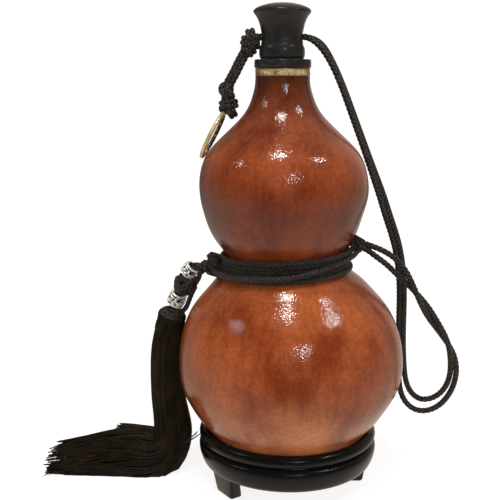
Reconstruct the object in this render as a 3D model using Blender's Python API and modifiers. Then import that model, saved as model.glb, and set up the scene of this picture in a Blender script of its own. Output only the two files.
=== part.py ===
"""A bottle-gourd flask on a turned three-footed stand, with its cord, ring, beads and tassel.

Sizes are millimetres in the object's own frame. The origin lies on the surface that the
object stands on, under the middle of the gourd's lower bulb. +Z is up, +X points to the
side where the carrying cord hangs, and -Y is the front.
"""

import math

import bmesh
import bpy
import numpy as np
from mathutils import Matrix, Vector

MM = 0.001
GAP = 0.3

# The gourd's outline: radius, height, and how far its axis leans to +X at that height.
GOURD_STATIONS = (
    (0.0, 9.5, -1.4),
    (13.0, 10.9, -1.4),
    (24.5, 15.0, -1.4),
    (33.0, 20.8, -1.4),
    (38.9, 27.0, -1.4),
    (45.6, 35.0, -1.2),
    (52.1, 45.0, -0.9),
    (56.4, 54.0, -0.4),
    (57.9, 64.0, 0.0),
    (57.4, 73.0, 0.0),
    (55.5, 82.0, -0.1),
    (49.3, 95.0, -0.3),
    (42.0, 103.5, -0.5),
    (36.4, 109.5, -1.1),
    (31.6, 114.0, -2.0),
    (29.6, 118.5, -2.8),
    (30.3, 122.0, -3.2),
    (32.4, 125.5, -3.5),
    (35.8, 131.0, -3.9),
    (39.9, 142.0, -4.2),
    (42.2, 152.0, -4.0),
    (41.6, 163.0, -4.3),
    (38.2, 172.0, -4.5),
    (32.1, 179.0, -4.6),
    (24.7, 186.0, -4.7),
    (17.8, 194.0, -4.8),
    (14.8, 201.0, -4.9),
    (13.5, 207.0, -5.0),
    (13.4, 210.0, -5.0),
)
WALL = 4.0
WAIST_Z = 118.5
WAIST_REACH = 12.0
NECK_X = -5.0
NECK_TOP = 213.8
NECK_BORE_R = 9.0
BAND_SEAT_R = 12.0
BAND_R = 13.4
BAND_BOTTOM = 210.3

COLLAR_BOTTOM = 214.1
COLLAR_TOP = 218.1
COLLAR_R = 13.9
COLLAR_BORE_R = 6.3
SLEEVE_R = 8.7
SLEEVE_BOTTOM = 200.5

STOPPER_X = -5.4
STOPPER_BOTTOM = 218.4
STOPPER_NECK_R = 10.15
SPIGOT_R = 5.6
SPIGOT_BOTTOM = 203.4
CORD_HOLE_R = 3.0
CORD_HOLE_Z = 228.8

STAND_X = -1.4
BEAD_R = 42.9
BEAD_Z = 27.6
BEAD_MINOR = 3.25
STAND_BOTTOM = 11.5
STAND_INNER_R = 35.6
SEAT_HEIGHTS = (22.6, 25.0, 27.8)
SEAT_CLEARANCE = 0.7
FOOT_ANGLES = (-56.0, 90.0, 197.0)
FOOT_WIDTH_TOP = 20.0
FOOT_WIDTH_BOTTOM = 13.5

CORD_D = 2.5
WRAP_D = 2.4
WRAP_PITCH = 2.52
WRAP_TURNS = 4.5
WRAP_TILT = 0.045
WRAP_CLEARANCE = 0.6

# The carrying cord is a pair of strands. Each row is a point of the pair's middle line,
# the distance between the two strands there, and the pair's twist in degrees: at 0 one
# strand is behind the other, at 90 they lie side by side as seen from the front.
CARRY_ROUTE = (
    (38.0, -3.4, 125.6, 2.8, 90),
    (43.0, -4.5, 123.1, 4.0, 90),
    (49.3, -5.0, 119.0, 5.0, 90),
    (54.6, -5.0, 113.8, 4.8, 98),
    (59.4, -4.5, 107.8, 3.5, 135),
    (63.4, -4.0, 102.0, 2.9, 180),
    (68.9, -3.0, 93.8, 3.3, 240),
    (72.6, -2.0, 88.2, 3.6, 275),
    (77.5, -1.0, 81.0, 3.1, 320),
    (81.5, 0.0, 74.2, 2.9, 360),
    (84.4, 1.5, 67.3, 3.0, 405),
    (86.0, 3.0, 59.6, 3.2, 440),
    (85.2, 4.5, 50.4, 3.5, 450),
    (81.4, 6.2, 42.5, 4.6, 450),
    (75.8, 8.2, 37.7, 6.2, 450),
    (69.8, 10.5, 36.6, 6.6, 450),
    (64.9, 13.0, 39.8, 5.6, 450),
    (62.2, 15.5, 46.2, 4.0, 450),
    (61.2, 17.5, 56.0, 3.0, 450),
    (60.7, 18.5, 70.2, 2.8, 450),
    (60.4, 18.0, 84.3, 2.8, 450),
    (59.9, 16.5, 98.0, 2.8, 450),
    (58.2, 14.2, 112.6, 2.8, 450),
    (55.0, 12.0, 125.9, 2.8, 452),
    (50.4, 10.0, 138.8, 2.8, 460),
    (46.2, 8.2, 150.5, 2.8, 475),
    (41.4, 6.5, 162.8, 2.8, 495),
    (35.2, 4.2, 178.4, 2.8, 508),
    (29.3, 2.5, 193.2, 2.8, 512),
    (23.2, 1.0, 208.0, 2.8, 516),
    (17.4, 0.3, 219.4, 2.8, 522),
    (11.8, 0.0, 226.2, 2.8, 532),
    (6.0, 0.0, 228.7, 2.8, 540),
    (0.0, 0.0, 228.8, 2.8, 540),
    (-8.0, 0.0, 228.8, 2.8, 540),
    (-14.6, 0.0, 228.8, 2.8, 540),
)
LINK_ROUTE = (
    (-24.5, 0.0, 218.7, 2.8, 90),
    (-26.4, 0.0, 214.9, 2.8, 90),
    (-28.3, 0.0, 211.5, 2.8, 90),
    (-30.1, 0.0, 208.7, 2.8, 90),
)
TASSEL_ROUTE = (
    (-43.2, 1.3, 115.4),
    (-45.4, 2.0, 114.9),
    (-48.0, 3.0, 113.6),
    (-50.8, 4.2, 111.2),
    (-52.8, 5.3, 108.0),
    (-54.2, 6.2, 104.3),
    (-55.9, 7.3, 100.0),
    (-58.0, 8.5, 95.4),
    (-59.7, 9.4, 91.6),
)

# Each knot: its middle, the way its long axis points, its radius, half its length, how
# many turns of cord show, and how far those turns slant.
STOPPER_KNOT = ((-21.2, 0.0, 225.4), (0.50, 0.0, 1.0), 4.9, 6.9, 3, 0.9)
RING_KNOT_UPPER = ((-32.3, 0.0, 204.0), (0.45, 0.0, 1.0), 3.9, 4.5, 2, 0.8)
RING_KNOT_LOWER = ((-32.0, 0.0, 194.3), (-0.35, 0.0, 1.0), 4.9, 4.5, 2, -0.8)
WAIST_KNOT_RIGHT = ((34.4, -3.4, 126.6), (0.10, 0.0, 1.0), 3.0, 4.4, 2, 0.7)
WAIST_KNOT_LEFT = ((-39.5, 0.9, 116.2), (0.25, 0.0, 1.0), 3.1, 6.4, 3, 0.7)

RING_MIDDLE = (-39.4, 0.0, 181.6)
RING_R = 12.0
RING_WIRE_R = 1.0
RING_LEAN = math.radians(27.2)
RING_TURN = math.radians(7.0)

# What is threaded on the tassel's cord: how far down the cord its middle is, its radius,
# and half its length.
BEAD_BORE_R = 1.8
UPPER_BEAD = (7.3, 4.8, 2.9)
BUTTON_KNOT = (16.2, 5.8, 3.9)
LOWER_BEAD = (24.2, 5.2, 3.5)

# The tassel's head, then its skirt: middle point, half its thickness across the bend,
# and half its width from front to back. The skirt comes down, folds over on the surface
# and spreads to its tip.
HEAD_RINGS = (
    (-60.2, 9.6, 91.0, 5.4, 5.4),
    (-60.7, 9.9, 89.7, 6.9, 6.9),
    (-61.7, 10.4, 86.8, 7.4, 7.4),
    (-63.0, 11.1, 82.3, 7.7, 7.7),
    (-64.1, 11.7, 77.8, 8.0, 8.0),
)
SKIRT_RINGS = (
    (-64.1, 11.9, 76.6, 8.0, 8.0),
    (-65.3, 12.7, 68.0, 8.2, 8.2),
    (-65.8, 13.2, 57.0, 8.4, 8.5),
    (-65.2, 13.4, 44.0, 8.9, 9.0),
    (-63.8, 13.4, 31.0, 9.6, 9.8),
    (-63.6, 13.4, 21.4, 9.8, 10.6),
    (-67.2, 14.0, 13.6, 10.0, 11.6),
    (-74.6, 15.0, 10.4, 9.4, 13.4),
    (-86.0, 16.4, 9.4, 8.7, 16.2),
    (-99.0, 17.4, 7.8, 7.2, 17.8),
    (-113.0, 18.0, 6.2, 5.7, 18.4),
    (-124.0, 18.6, 5.0, 4.5, 18.0),
    (-132.0, 19.0, 4.1, 3.5, 16.6),
)
SKIRT_SIDES = 28
SKIRT_FLUTES = 7
SKIRT_FLUTE_DEPTH = 0.05


def clear_scene():
    for obj in list(bpy.data.objects):
        bpy.data.objects.remove(obj)


def new_collection(name):
    collection = bpy.data.collections.new(name)
    bpy.context.scene.collection.children.link(collection)
    return collection


def material(name, colour, roughness, metallic=0.0, coat=0.0):
    made = bpy.data.materials.new(name)
    made.use_nodes = True
    shader = made.node_tree.nodes["Principled BSDF"]
    shader.inputs["Base Color"].default_value = (*colour, 1.0)
    shader.inputs["Roughness"].default_value = roughness
    shader.inputs["Metallic"].default_value = metallic
    shader.inputs["Coat Weight"].default_value = coat
    made.diffuse_color = (*colour, 1.0)
    return made


def in_metres(points):
    return [Vector(point) * MM for point in points]


def spline(knots, values, at):
    """The natural cubic spline through values at the knots, read at other places."""
    gaps = np.diff(knots)
    slopes = np.diff(values, axis=0) / gaps[:, None]
    size = len(knots)
    system = np.eye(size)
    right = np.zeros_like(values)
    for i in range(1, size - 1):
        system[i, i - 1 : i + 2] = gaps[i - 1], 2 * (gaps[i - 1] + gaps[i]), gaps[i]
        right[i] = 6 * (slopes[i] - slopes[i - 1])
    bends = np.linalg.solve(system, right)
    i = np.clip(np.searchsorted(knots, at, side="right") - 1, 0, size - 2)
    ahead = (at - knots[i])[:, None]
    gap = gaps[i][:, None]
    start_slope = slopes[i] - gap * (2 * bends[i] + bends[i + 1]) / 6
    return (
        values[i]
        + ahead * start_slope
        + ahead**2 * bends[i] / 2
        + ahead**3 * (bends[i + 1] - bends[i]) / (6 * gap)
    )


def smooth_curve(points, step, measured):
    """Points about a step apart on the smooth curve through the given points.

    Only the first few columns, as many as measured says, are a place. The others,
    such as a twist, are carried along.
    """
    points = np.array(points, float)
    lengths = np.linalg.norm(np.diff(points[:, :measured], axis=0), axis=1)
    knots = np.concatenate([[0.0], np.cumsum(lengths)])
    count = int(round(knots[-1] / step)) + 1
    return spline(knots, points, np.linspace(0.0, knots[-1], count))


def unit(vectors):
    return vectors / np.linalg.norm(vectors, axis=-1, keepdims=True)


def finish(obj, look):
    """Put the object in the part's collection and give it its material."""
    for owner in list(obj.users_collection):
        owner.objects.unlink(obj)
    PART.objects.link(obj)
    obj.data.materials.clear()
    obj.data.materials.append(look)
    return obj


def as_cutter(obj):
    for owner in list(obj.users_collection):
        owner.objects.unlink(obj)
    CUTTERS.objects.link(obj)
    obj.hide_render = True
    obj.display_type = "WIRE"
    return obj


def baked(obj):
    """The object as its modifiers show it, made one plain mesh with its doubles merged."""
    bpy.context.view_layer.update()
    evaluated = obj.evaluated_get(bpy.context.evaluated_depsgraph_get())
    mesh = bpy.data.meshes.new_from_object(evaluated)
    shape = bmesh.new()
    shape.from_mesh(mesh)
    bmesh.ops.remove_doubles(shape, verts=shape.verts, dist=0.001 * MM)
    shape.to_mesh(mesh)
    shape.free()
    name = obj.name
    place = obj.matrix_world.copy()
    bpy.data.objects.remove(obj)
    solid = bpy.data.objects.new(name, mesh)
    solid.matrix_world = place
    bpy.context.scene.collection.objects.link(solid)
    return solid


def turned(name, profile, axis_x, look, closed=True, steps=28):
    """A turned shape. Its profile runs down the outer side, and a closed one is a ring."""
    mesh = bpy.data.meshes.new(name)
    edges = [(i, i + 1) for i in range(len(profile) - 1)]
    if closed:
        edges.append((len(profile) - 1, 0))
    mesh.from_pydata([(r * MM, 0.0, z * MM) for r, z in profile], edges, [])
    obj = bpy.data.objects.new(name, mesh)
    screw = obj.modifiers.new("turn", "SCREW")
    screw.steps = steps
    screw.render_steps = steps
    screw.use_merge_vertices = True
    screw.merge_threshold = 1e-6
    obj.location.x = axis_x * MM
    return finish(obj, look)


def arc(centre_r, centre_z, radius, start, end, count):
    """Profile points on an arc, with angles in degrees from +R towards +Z."""
    angles = np.radians(np.linspace(start, end, count))
    return [(centre_r + radius * math.cos(a), centre_z + radius * math.sin(a)) for a in angles]


def tube(name, points, diameter, look):
    """A cord or wire along the points, with a flat cap at each end."""
    curve = bpy.data.curves.new(name, "CURVE")
    curve.dimensions = "3D"
    curve.bevel_depth = diameter / 2 * MM
    curve.bevel_resolution = 2
    curve.use_fill_caps = True
    line = curve.splines.new("POLY")
    line.points.add(len(points) - 1)
    for place, point in zip(line.points, in_metres(points)):
        place.co = (*point, 1.0)
    line.use_smooth = True
    return finish(bpy.data.objects.new(name, curve), look)


def lofted(name, rings, look):
    """A closed skin over rings of points, listed anticlockwise as seen from the last ring."""
    rings = np.array(rings)
    count, sides = rings.shape[:2]
    faces = [tuple(range(sides))[::-1], tuple(range((count - 1) * sides, count * sides))]
    for ring in range(count - 1):
        for side in range(sides):
            near, far = ring * sides, (ring + 1) * sides
            ahead = (side + 1) % sides
            faces.append((near + side, near + ahead, far + ahead, far + side))
    mesh = bpy.data.meshes.new(name)
    mesh.from_pydata(in_metres(rings.reshape(-1, 3)), [], faces)
    mesh.shade_smooth()
    shape = bmesh.new()
    shape.from_mesh(mesh)
    bmesh.ops.recalc_face_normals(shape, faces=shape.faces)
    shape.to_mesh(mesh)
    shape.free()
    return finish(bpy.data.objects.new(name, mesh), look)


def gourd_outline(step):
    """Radius, height and lean down the gourd's outside, from its base to the neck."""
    return smooth_curve(GOURD_STATIONS, step, 2)


def outward(outline):
    """The outline's outward normals in the plane of radius and height."""
    along = unit(np.gradient(outline[:, :2], axis=0))
    return np.stack([along[:, 1], -along[:, 0]], axis=1)


def gourd_shell(look):
    """The dried gourd: one grown shell, hollow, open where the neck was cut."""
    fine = gourd_outline(2.6)
    kept = np.arange(len(fine)) % 3 == 0
    kept |= np.abs(fine[:, 1] - WAIST_Z) < WAIST_REACH
    kept[-1] = True
    outline = fine[kept]
    coarse = gourd_outline(16.0)
    inside = coarse[:, :2] - WALL * outward(coarse)
    inside[0] = 0.0, GOURD_STATIONS[0][1] + WALL
    inside = inside[(inside[:, 0] > NECK_BORE_R) | (inside[:, 1] < WAIST_Z)]
    profile = [tuple(point) for point in inside if point[0] >= 0.0]
    profile += [(NECK_BORE_R, profile[-1][1] + 4.0), (NECK_BORE_R, NECK_TOP)]
    profile += [(BAND_SEAT_R, NECK_TOP), (BAND_SEAT_R, GOURD_STATIONS[-1][1])]
    profile += [tuple(point) for point in outline[::-1, :2]]
    obj = turned("gourd_shell", profile, 0.0, look, closed=False, steps=36)
    obj = baked(obj)
    for vertex in obj.data.vertices:
        vertex.co.x += np.interp(vertex.co.z / MM, fine[:, 1], fine[:, 2]) * MM
    obj.data.shade_smooth()
    return finish(obj, look)


def neck_band(look):
    """The flat brass band round the end of the neck."""
    inner = BAND_SEAT_R + GAP
    top = NECK_TOP
    profile = [(inner, top), (BAND_R - 0.25, top), (BAND_R, top - 0.25)]
    profile += [(BAND_R, BAND_BOTTOM + 0.25), (BAND_R - 0.25, BAND_BOTTOM), (inner, BAND_BOTTOM)]
    return turned("neck_band", profile, NECK_X, look)


def mouth_collar(look):
    """The turned mouth: a flange on the neck and a sleeve glued down inside it."""
    edge = 0.7
    profile = [(COLLAR_BORE_R, COLLAR_TOP)]
    profile += arc(COLLAR_R - edge, COLLAR_TOP - edge, edge, 90, 0, 3)
    profile += arc(COLLAR_R - edge, COLLAR_BOTTOM + edge, edge, 0, -90, 3)
    profile += [(SLEEVE_R, COLLAR_BOTTOM), (SLEEVE_R, SLEEVE_BOTTOM)]
    profile += [(COLLAR_BORE_R, SLEEVE_BOTTOM)]
    return turned("mouth_collar", profile, NECK_X, look)


def stopper(look):
    """The trumpet-shaped stopper with its tapered spigot and the cord's cross hole."""
    neck = STOPPER_NECK_R
    profile = [(0.0, 244.9), (5.0, 244.6), (9.6, 243.6), (12.6, 242.4), (13.8, 241.4)]
    profile += [(14.05, 240.7), (13.7, 239.9), (12.7, 238.6), (11.6, 236.6), (10.8, 234.2)]
    profile += [(10.3, 231.6), (neck, 228.8), (neck + 0.1, 225.2), (neck + 0.3, 224.2)]
    profile += [(11.0, 223.6), (11.15, 222.8), (11.15, 219.6), (10.9, 218.9), (10.5, STOPPER_BOTTOM)]
    profile += [(SPIGOT_R, STOPPER_BOTTOM), (SPIGOT_R - 0.4, SPIGOT_BOTTOM + 0.6)]
    profile += [(SPIGOT_R - 1.0, SPIGOT_BOTTOM), (0.0, SPIGOT_BOTTOM)]
    obj = turned("stopper", profile, STOPPER_X, look, closed=False)
    place = (STOPPER_X * MM, 0.0, CORD_HOLE_Z * MM)
    turn = (0.0, math.radians(90), 0.0)
    bpy.ops.mesh.primitive_cylinder_add(
        vertices=24, radius=CORD_HOLE_R * MM, depth=40 * MM, location=place, rotation=turn
    )
    drill = as_cutter(bpy.context.object)
    drill.name = "cord_hole_drill"
    hole = obj.modifiers.new("cord hole", "BOOLEAN")
    hole.operation = "DIFFERENCE"
    hole.object = drill
    return obj


def foot(angle):
    """One tapered foot, its outer face under the rim of the stand."""
    top, bottom = 14.5, 0.0
    corners = {
        top: (36.4, 41.6, FOOT_WIDTH_TOP),
        bottom: (32.6, 39.8, FOOT_WIDTH_BOTTOM),
    }
    shape = bmesh.new()
    bmesh.ops.create_cube(shape, size=2.0)
    for vertex in shape.verts:
        height = top if vertex.co.z > 0 else bottom
        inner, outer, width = corners[height]
        radius = outer if vertex.co.x > 0 else inner
        vertex.co = Vector((radius, width / 2 * math.copysign(1.0, vertex.co.y), height)) * MM
    mesh = bpy.data.meshes.new("foot")
    shape.to_mesh(mesh)
    shape.free()
    obj = bpy.data.objects.new("foot", mesh)
    bpy.context.scene.collection.objects.link(obj)
    round_over = obj.modifiers.new("round over", "BEVEL")
    round_over.width = 1.6 * MM
    round_over.segments = 3
    obj.rotation_euler.z = math.radians(angle - 90)
    obj.location.x = STAND_X * MM
    return baked(obj)


def display_stand(look):
    """The stand: a turned ring with a bead on its rim and three feet cut from below."""
    seat_top = arc(BEAD_R, BEAD_Z, BEAD_MINOR, 84, -40, 7)
    outer = [(43.4, 24.7), (43.5, 24.0), (45.0, 23.4), (46.0, 22.3), (46.3, 20.4)]
    outer += [(45.9, 17.6), (44.9, 14.6), (43.2, 12.2), (41.4, STAND_BOTTOM)]
    inner = [(STAND_INNER_R + 0.8, STAND_BOTTOM), (STAND_INNER_R, STAND_BOTTOM + 0.8)]
    gourd = gourd_outline(1.0)
    seat = [(np.interp(z, gourd[:, 1], gourd[:, 0]) + SEAT_CLEARANCE, z) for z in SEAT_HEIGHTS]
    stand = turned("display_stand", seat_top + outer + inner + seat, STAND_X, look, steps=40)
    stand = baked(stand)
    feet = [foot(angle) for angle in FOOT_ANGLES]
    for piece in feet:
        join = stand.modifiers.new("foot", "BOOLEAN")
        join.operation = "UNION"
        join.object = piece
    stand = baked(stand)
    for piece in feet:
        bpy.data.objects.remove(piece)
    stand.data.shade_smooth()
    stand.data.set_sharp_from_angle(angle=math.radians(40))
    return finish(stand, look)


def groove(layer):
    """Arc length from the waist, radius, height and lean, a layer's distance off the gourd."""
    outline = gourd_outline(0.5)
    near = (outline[:, 1] > 104.0) & (outline[:, 1] < 136.0)
    line = outline[near]
    line[:, :2] += layer * outward(outline)[near]
    arc_length = np.concatenate([[0.0], np.cumsum(np.linalg.norm(np.diff(line[:, :2], axis=0), axis=1))])
    arc_length -= np.interp(WAIST_Z, line[:, 1], arc_length)
    return arc_length, line


def around_waist(angles, along, layer):
    """Points round the waist: an angle from the front towards +X, and a place up the groove."""
    arc_length, line = groove(layer)
    along = along + WRAP_TILT * line[0, 0] * np.sin(angles)
    radius = np.interp(along, arc_length, line[:, 0])
    height = np.interp(along, arc_length, line[:, 1])
    lean = np.interp(along, arc_length, line[:, 2])
    return np.stack([lean + radius * np.sin(angles), -radius * np.cos(angles), height], axis=1)


def waist_wraps(look):
    """The turns of cord that lie side by side in the waist, held all the way by the gourd."""
    first = math.radians(-82)
    turns = WRAP_TURNS - 0.045
    angles = first + np.linspace(0.0, 2 * math.pi * turns, int(24 * turns))
    climb = WRAP_PITCH * (angles - first) / (2 * math.pi) - WRAP_PITCH * WRAP_TURNS / 2
    points = around_waist(angles, climb, WRAP_D / 2 + WRAP_CLEARANCE)
    return tube("waist_wraps", points, WRAP_D, look)


def waist_crossing(look):
    """The outer turn, which slants over the others from the right knot to the left one."""
    angles = np.radians(np.linspace(78, -84, 27))
    along = np.interp(np.degrees(angles), (-84, -40, 0, 40, 78), (-4.2, -3.9, -2.4, 1.0, 4.6))
    points = around_waist(angles, along, WRAP_D * 1.5 + WRAP_CLEARANCE + GAP)
    return tube("waist_crossing", points, WRAP_D, look)


def pair_strand(route, side, step):
    """One strand of a pair of cords: side is 1 or -1."""
    line = smooth_curve(route, step, 3)
    middle, spread, twist = line[:, :3], line[:, 3:4], np.radians(line[:, 4:5])
    along = unit(np.gradient(middle, axis=0))
    across = unit(np.cross(along, (0.0, 1.0, 0.0)))
    behind = np.cross(across, along)
    return middle + side * spread / 2 * (np.cos(twist) * behind + np.sin(twist) * across)


def knot(name, facts, look):
    """A tight knot: a rounded body whose surface carries slanting turns of cord."""
    middle, axis, radius, half_length, turns, slant = facts
    axis = unit(np.array(axis, float))
    side = unit(np.cross(axis, (0.0, 1.0, 0.0)))
    front = np.cross(axis, side)
    rings = []
    for t in np.radians(np.linspace(-78, 78, 11)):
        ring = []
        for a in np.linspace(0.0, 2 * math.pi, 14, endpoint=False):
            height = math.sin(t)
            phase = math.pi * (turns * (height + 1) / 2 + slant * math.cos(a) / 2)
            ridge = 1.0 - 0.13 * (1.0 - abs(math.sin(phase)))
            reach = radius * math.cos(t) ** 0.6 * ridge
            ring.append(
                np.array(middle)
                + axis * half_length * height
                + reach * (math.cos(a) * side + math.sin(a) * front)
            )
        rings.append(ring)
    return lofted(name, rings, look)


def brass_ring(look):
    """The ring in the cord's end, lying edge on against the upper bulb's shoulder."""
    bpy.ops.mesh.primitive_torus_add(
        major_radius=RING_R * MM,
        minor_radius=RING_WIRE_R * MM,
        major_segments=32,
        minor_segments=6,
    )
    obj = bpy.context.object
    obj.name = "brass_ring"
    down = Vector((-math.sin(RING_LEAN), 0.0, -math.cos(RING_LEAN)))
    normal = Vector((-math.cos(RING_LEAN), 0.0, math.sin(RING_LEAN)))
    normal.rotate(Matrix.Rotation(RING_TURN, 3, down))
    across = normal.cross(down)
    turn = Matrix((down, across, normal)).transposed().to_4x4()
    obj.matrix_world = Matrix.Translation(Vector(RING_MIDDLE) * MM) @ turn
    obj.data.shade_smooth()
    return finish(obj, look)


def ring_passage():
    """A copy of the ring with a thicker wire, which clears its way through the knot."""
    ring = bpy.data.objects["brass_ring"]
    bpy.ops.mesh.primitive_torus_add(
        major_radius=RING_R * MM,
        minor_radius=(RING_WIRE_R + GAP) * MM,
        major_segments=32,
        minor_segments=6,
    )
    cutter = as_cutter(bpy.context.object)
    cutter.name = "ring_passage"
    cutter.matrix_world = ring.matrix_world
    return cutter


def on_line(line, distance):
    """The point a distance down a line, and the way back up it."""
    lengths = np.linalg.norm(np.diff(line, axis=0), axis=1)
    places = np.concatenate([[0.0], np.cumsum(lengths)])
    near, here, far = (
        np.array([np.interp(distance + shift, places, column) for column in line.T])
        for shift in (-2.0, 0.0, 2.0)
    )
    return here, unit(near - far)


def bead(name, middle, axis, radius, half, look):
    """A barrel-shaped silver bead with a raised rim at each end and a bore for the cord."""
    profile = [(BEAD_BORE_R, half), (radius - 0.9, half), (radius - 0.45, half - 0.25)]
    profile += [(radius - 0.75, half - 1.0), (radius - 0.1, half * 0.35)]
    profile += [(radius - 0.1, -half * 0.35), (radius - 0.75, 1.0 - half)]
    profile += [(radius - 0.45, 0.25 - half), (radius - 0.9, -half), (BEAD_BORE_R, -half)]
    obj = turned(name, profile, 0.0, look, steps=16)
    turn = Vector((0, 0, 1)).rotation_difference(Vector(axis)).to_matrix().to_4x4()
    obj.matrix_world = Matrix.Translation(Vector(middle) * MM) @ turn
    return obj


def bundle_rings(stations, step, flute_depth):
    """Rings of points round a bundle that follows a bending middle line."""
    line = smooth_curve(stations, step, 3)
    middle = line[:, :3]
    along = unit(np.gradient(middle, axis=0))
    behind = unit(np.array((0.0, 1.0, 0.0)) - along * along[:, 1:2])
    over = np.cross(behind, along)
    rings = []
    for place, thick, wide, up, back in zip(middle, line[:, 3], line[:, 4], over, behind):
        ring = []
        for a in np.linspace(0.0, 2 * math.pi, SKIRT_SIDES, endpoint=False):
            reach = 1.0 - flute_depth * (1.0 + math.cos(SKIRT_FLUTES * a)) / 2
            point = place + reach * (thick * math.cos(a) * up + wide * math.sin(a) * back)
            ring.append((point[0], point[1], max(point[2], GAP)))
        rings.append(ring)
    return rings


def build():
    lacquer = material("gourd_lacquer", (0.36, 0.095, 0.035), 0.22, coat=0.6)
    black_wood = material("black_wood", (0.014, 0.015, 0.015), 0.34)
    brass = material("band_brass", (0.80, 0.62, 0.30), 0.28, 1.0)
    old_brass = material("ring_brass", (0.42, 0.30, 0.13), 0.36, 1.0)
    silver = material("bead_silver", (0.72, 0.70, 0.66), 0.32, 1.0)
    braid = material("cord_braid", (0.024, 0.017, 0.013), 0.72)
    thread = material("tassel_thread", (0.018, 0.012, 0.009), 0.6)

    gourd_shell(lacquer)
    neck_band(brass)
    mouth_collar(black_wood)
    stopper(black_wood)
    display_stand(black_wood)

    waist_wraps(braid)
    waist_crossing(braid)
    knot("waist_knot_right", WAIST_KNOT_RIGHT, braid)
    knot("waist_knot_left", WAIST_KNOT_LEFT, braid)
    for name, side in (("a", 1), ("b", -1)):
        tube(f"carry_strand_{name}", pair_strand(CARRY_ROUTE, side, 6.0), CORD_D, braid)
        tube(f"link_strand_{name}", pair_strand(LINK_ROUTE, side, 4.0), CORD_D, braid)
    knot("stopper_knot", STOPPER_KNOT, braid)
    knot("ring_knot_upper", RING_KNOT_UPPER, braid)
    brass_ring(old_brass)
    lower = knot("ring_knot_lower", RING_KNOT_LOWER, braid)
    passage = lower.modifiers.new("ring passage", "BOOLEAN")
    passage.operation = "DIFFERENCE"
    passage.object = ring_passage()

    tassel_line = smooth_curve(TASSEL_ROUTE, 3.0, 3)
    tube("tassel_cord", tassel_line, CORD_D, braid)
    for name, (distance, radius, half) in (("upper", UPPER_BEAD), ("lower", LOWER_BEAD)):
        middle, axis = on_line(tassel_line, distance)
        bead(f"silver_bead_{name}", middle, axis, radius, half, silver)
    distance, radius, half = BUTTON_KNOT
    middle, axis = on_line(tassel_line, distance)
    button = knot("button_knot", (middle, axis, radius, half, 3, 1.3), braid)
    bore = tube("button_bore", tassel_line, 2 * BEAD_BORE_R, braid)
    bore = as_cutter(baked(bore))
    opening = button.modifiers.new("cord bore", "BOOLEAN")
    opening.operation = "DIFFERENCE"
    opening.object = bore
    lofted("tassel_head", bundle_rings(HEAD_RINGS, 4.0, 0.0), thread)
    lofted("tassel_skirt", bundle_rings(SKIRT_RINGS, 8.0, SKIRT_FLUTE_DEPTH), thread)


clear_scene()
PART = new_collection("bottle_gourd_flask")
CUTTERS = new_collection("cutters")
build()
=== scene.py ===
# %% [markdown]
# # A lacquered bottle gourd, dressed over its frame
#
# The frame is a set of plain solids at their real size: a gourd, its stand, its stopper and
# its cords. This notebook gives each of them its real surface. We load the frame first.
# Nothing that we add may grow past it.

# %% Load the frame
import math

import bmesh
import bpy
import numpy as np
from mathutils import Matrix, Vector, noise


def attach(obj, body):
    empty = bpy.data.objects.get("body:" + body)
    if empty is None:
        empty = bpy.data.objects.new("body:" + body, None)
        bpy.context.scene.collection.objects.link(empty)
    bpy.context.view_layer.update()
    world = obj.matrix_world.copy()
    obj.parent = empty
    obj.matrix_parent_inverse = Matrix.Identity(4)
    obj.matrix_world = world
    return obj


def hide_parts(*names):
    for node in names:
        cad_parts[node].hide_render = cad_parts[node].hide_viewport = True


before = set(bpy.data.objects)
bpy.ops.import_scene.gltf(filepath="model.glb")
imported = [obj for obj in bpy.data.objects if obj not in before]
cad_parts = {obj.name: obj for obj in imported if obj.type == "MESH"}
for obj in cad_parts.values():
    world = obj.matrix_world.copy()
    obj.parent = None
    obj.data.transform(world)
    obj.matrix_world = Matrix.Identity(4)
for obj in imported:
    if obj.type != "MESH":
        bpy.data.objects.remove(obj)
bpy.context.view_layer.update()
MM = 0.001
TAU = 2.0 * math.pi
print("frame nodes:", len(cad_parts))

# %% [markdown]
# ## The camera
#
# A photograph fixes where its camera stood. The gourd's outline fits a camera 43 cm in front
# of it and a little to the left, looking 11 degrees down.

# %% Camera
CAMERA_PLACE = (-0.021, -0.430, 0.207)
CAMERA_PITCH = math.radians(11.0)
camera_data = bpy.data.cameras.new("photo_camera")
camera_data.lens = 62.0
camera_data.sensor_width = 36.0
camera = bpy.data.objects.new("photo_camera", camera_data)
camera.location = CAMERA_PLACE
camera.rotation_euler.x = math.radians(90.0) - CAMERA_PITCH
bpy.context.scene.collection.objects.link(camera)
bpy.context.scene.camera = camera
print("camera at", CAMERA_PLACE)

# %% [markdown]
# ## Writing node trees as expressions
#
# Shader and geometry trees are both graphs of sockets. Wrapping a socket in a small class
# lets us write `1 - mask * 0.4` and have Blender's Math nodes made for us. Every other node
# comes from one method, which sets the node's options before it fills its sockets.


# %% Sockets
class Value:
    """A socket that can stand in a Python expression."""

    def __init__(self, graph, socket):
        self.graph = graph
        self.socket = socket

    def __add__(self, other):
        return self.graph.maths("ADD", self, other)

    def __radd__(self, other):
        return self.graph.maths("ADD", other, self)

    def __sub__(self, other):
        return self.graph.maths("SUBTRACT", self, other)

    def __rsub__(self, other):
        return self.graph.maths("SUBTRACT", other, self)

    def __mul__(self, other):
        return self.graph.maths("MULTIPLY", self, other)

    def __rmul__(self, other):
        return self.graph.maths("MULTIPLY", other, self)

    def __truediv__(self, other):
        return self.graph.maths("DIVIDE", self, other)


print("sockets ready")


# %% Graphs
def set_stops(ramp, stops):
    """Give a colour ramp its stops, each a place and a colour."""
    while len(ramp.elements) < len(stops):
        ramp.elements.new(1.0)
    for element, (place, colour) in zip(ramp.elements, stops):
        element.position = place
        element.color = (*colour, 1.0)


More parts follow.
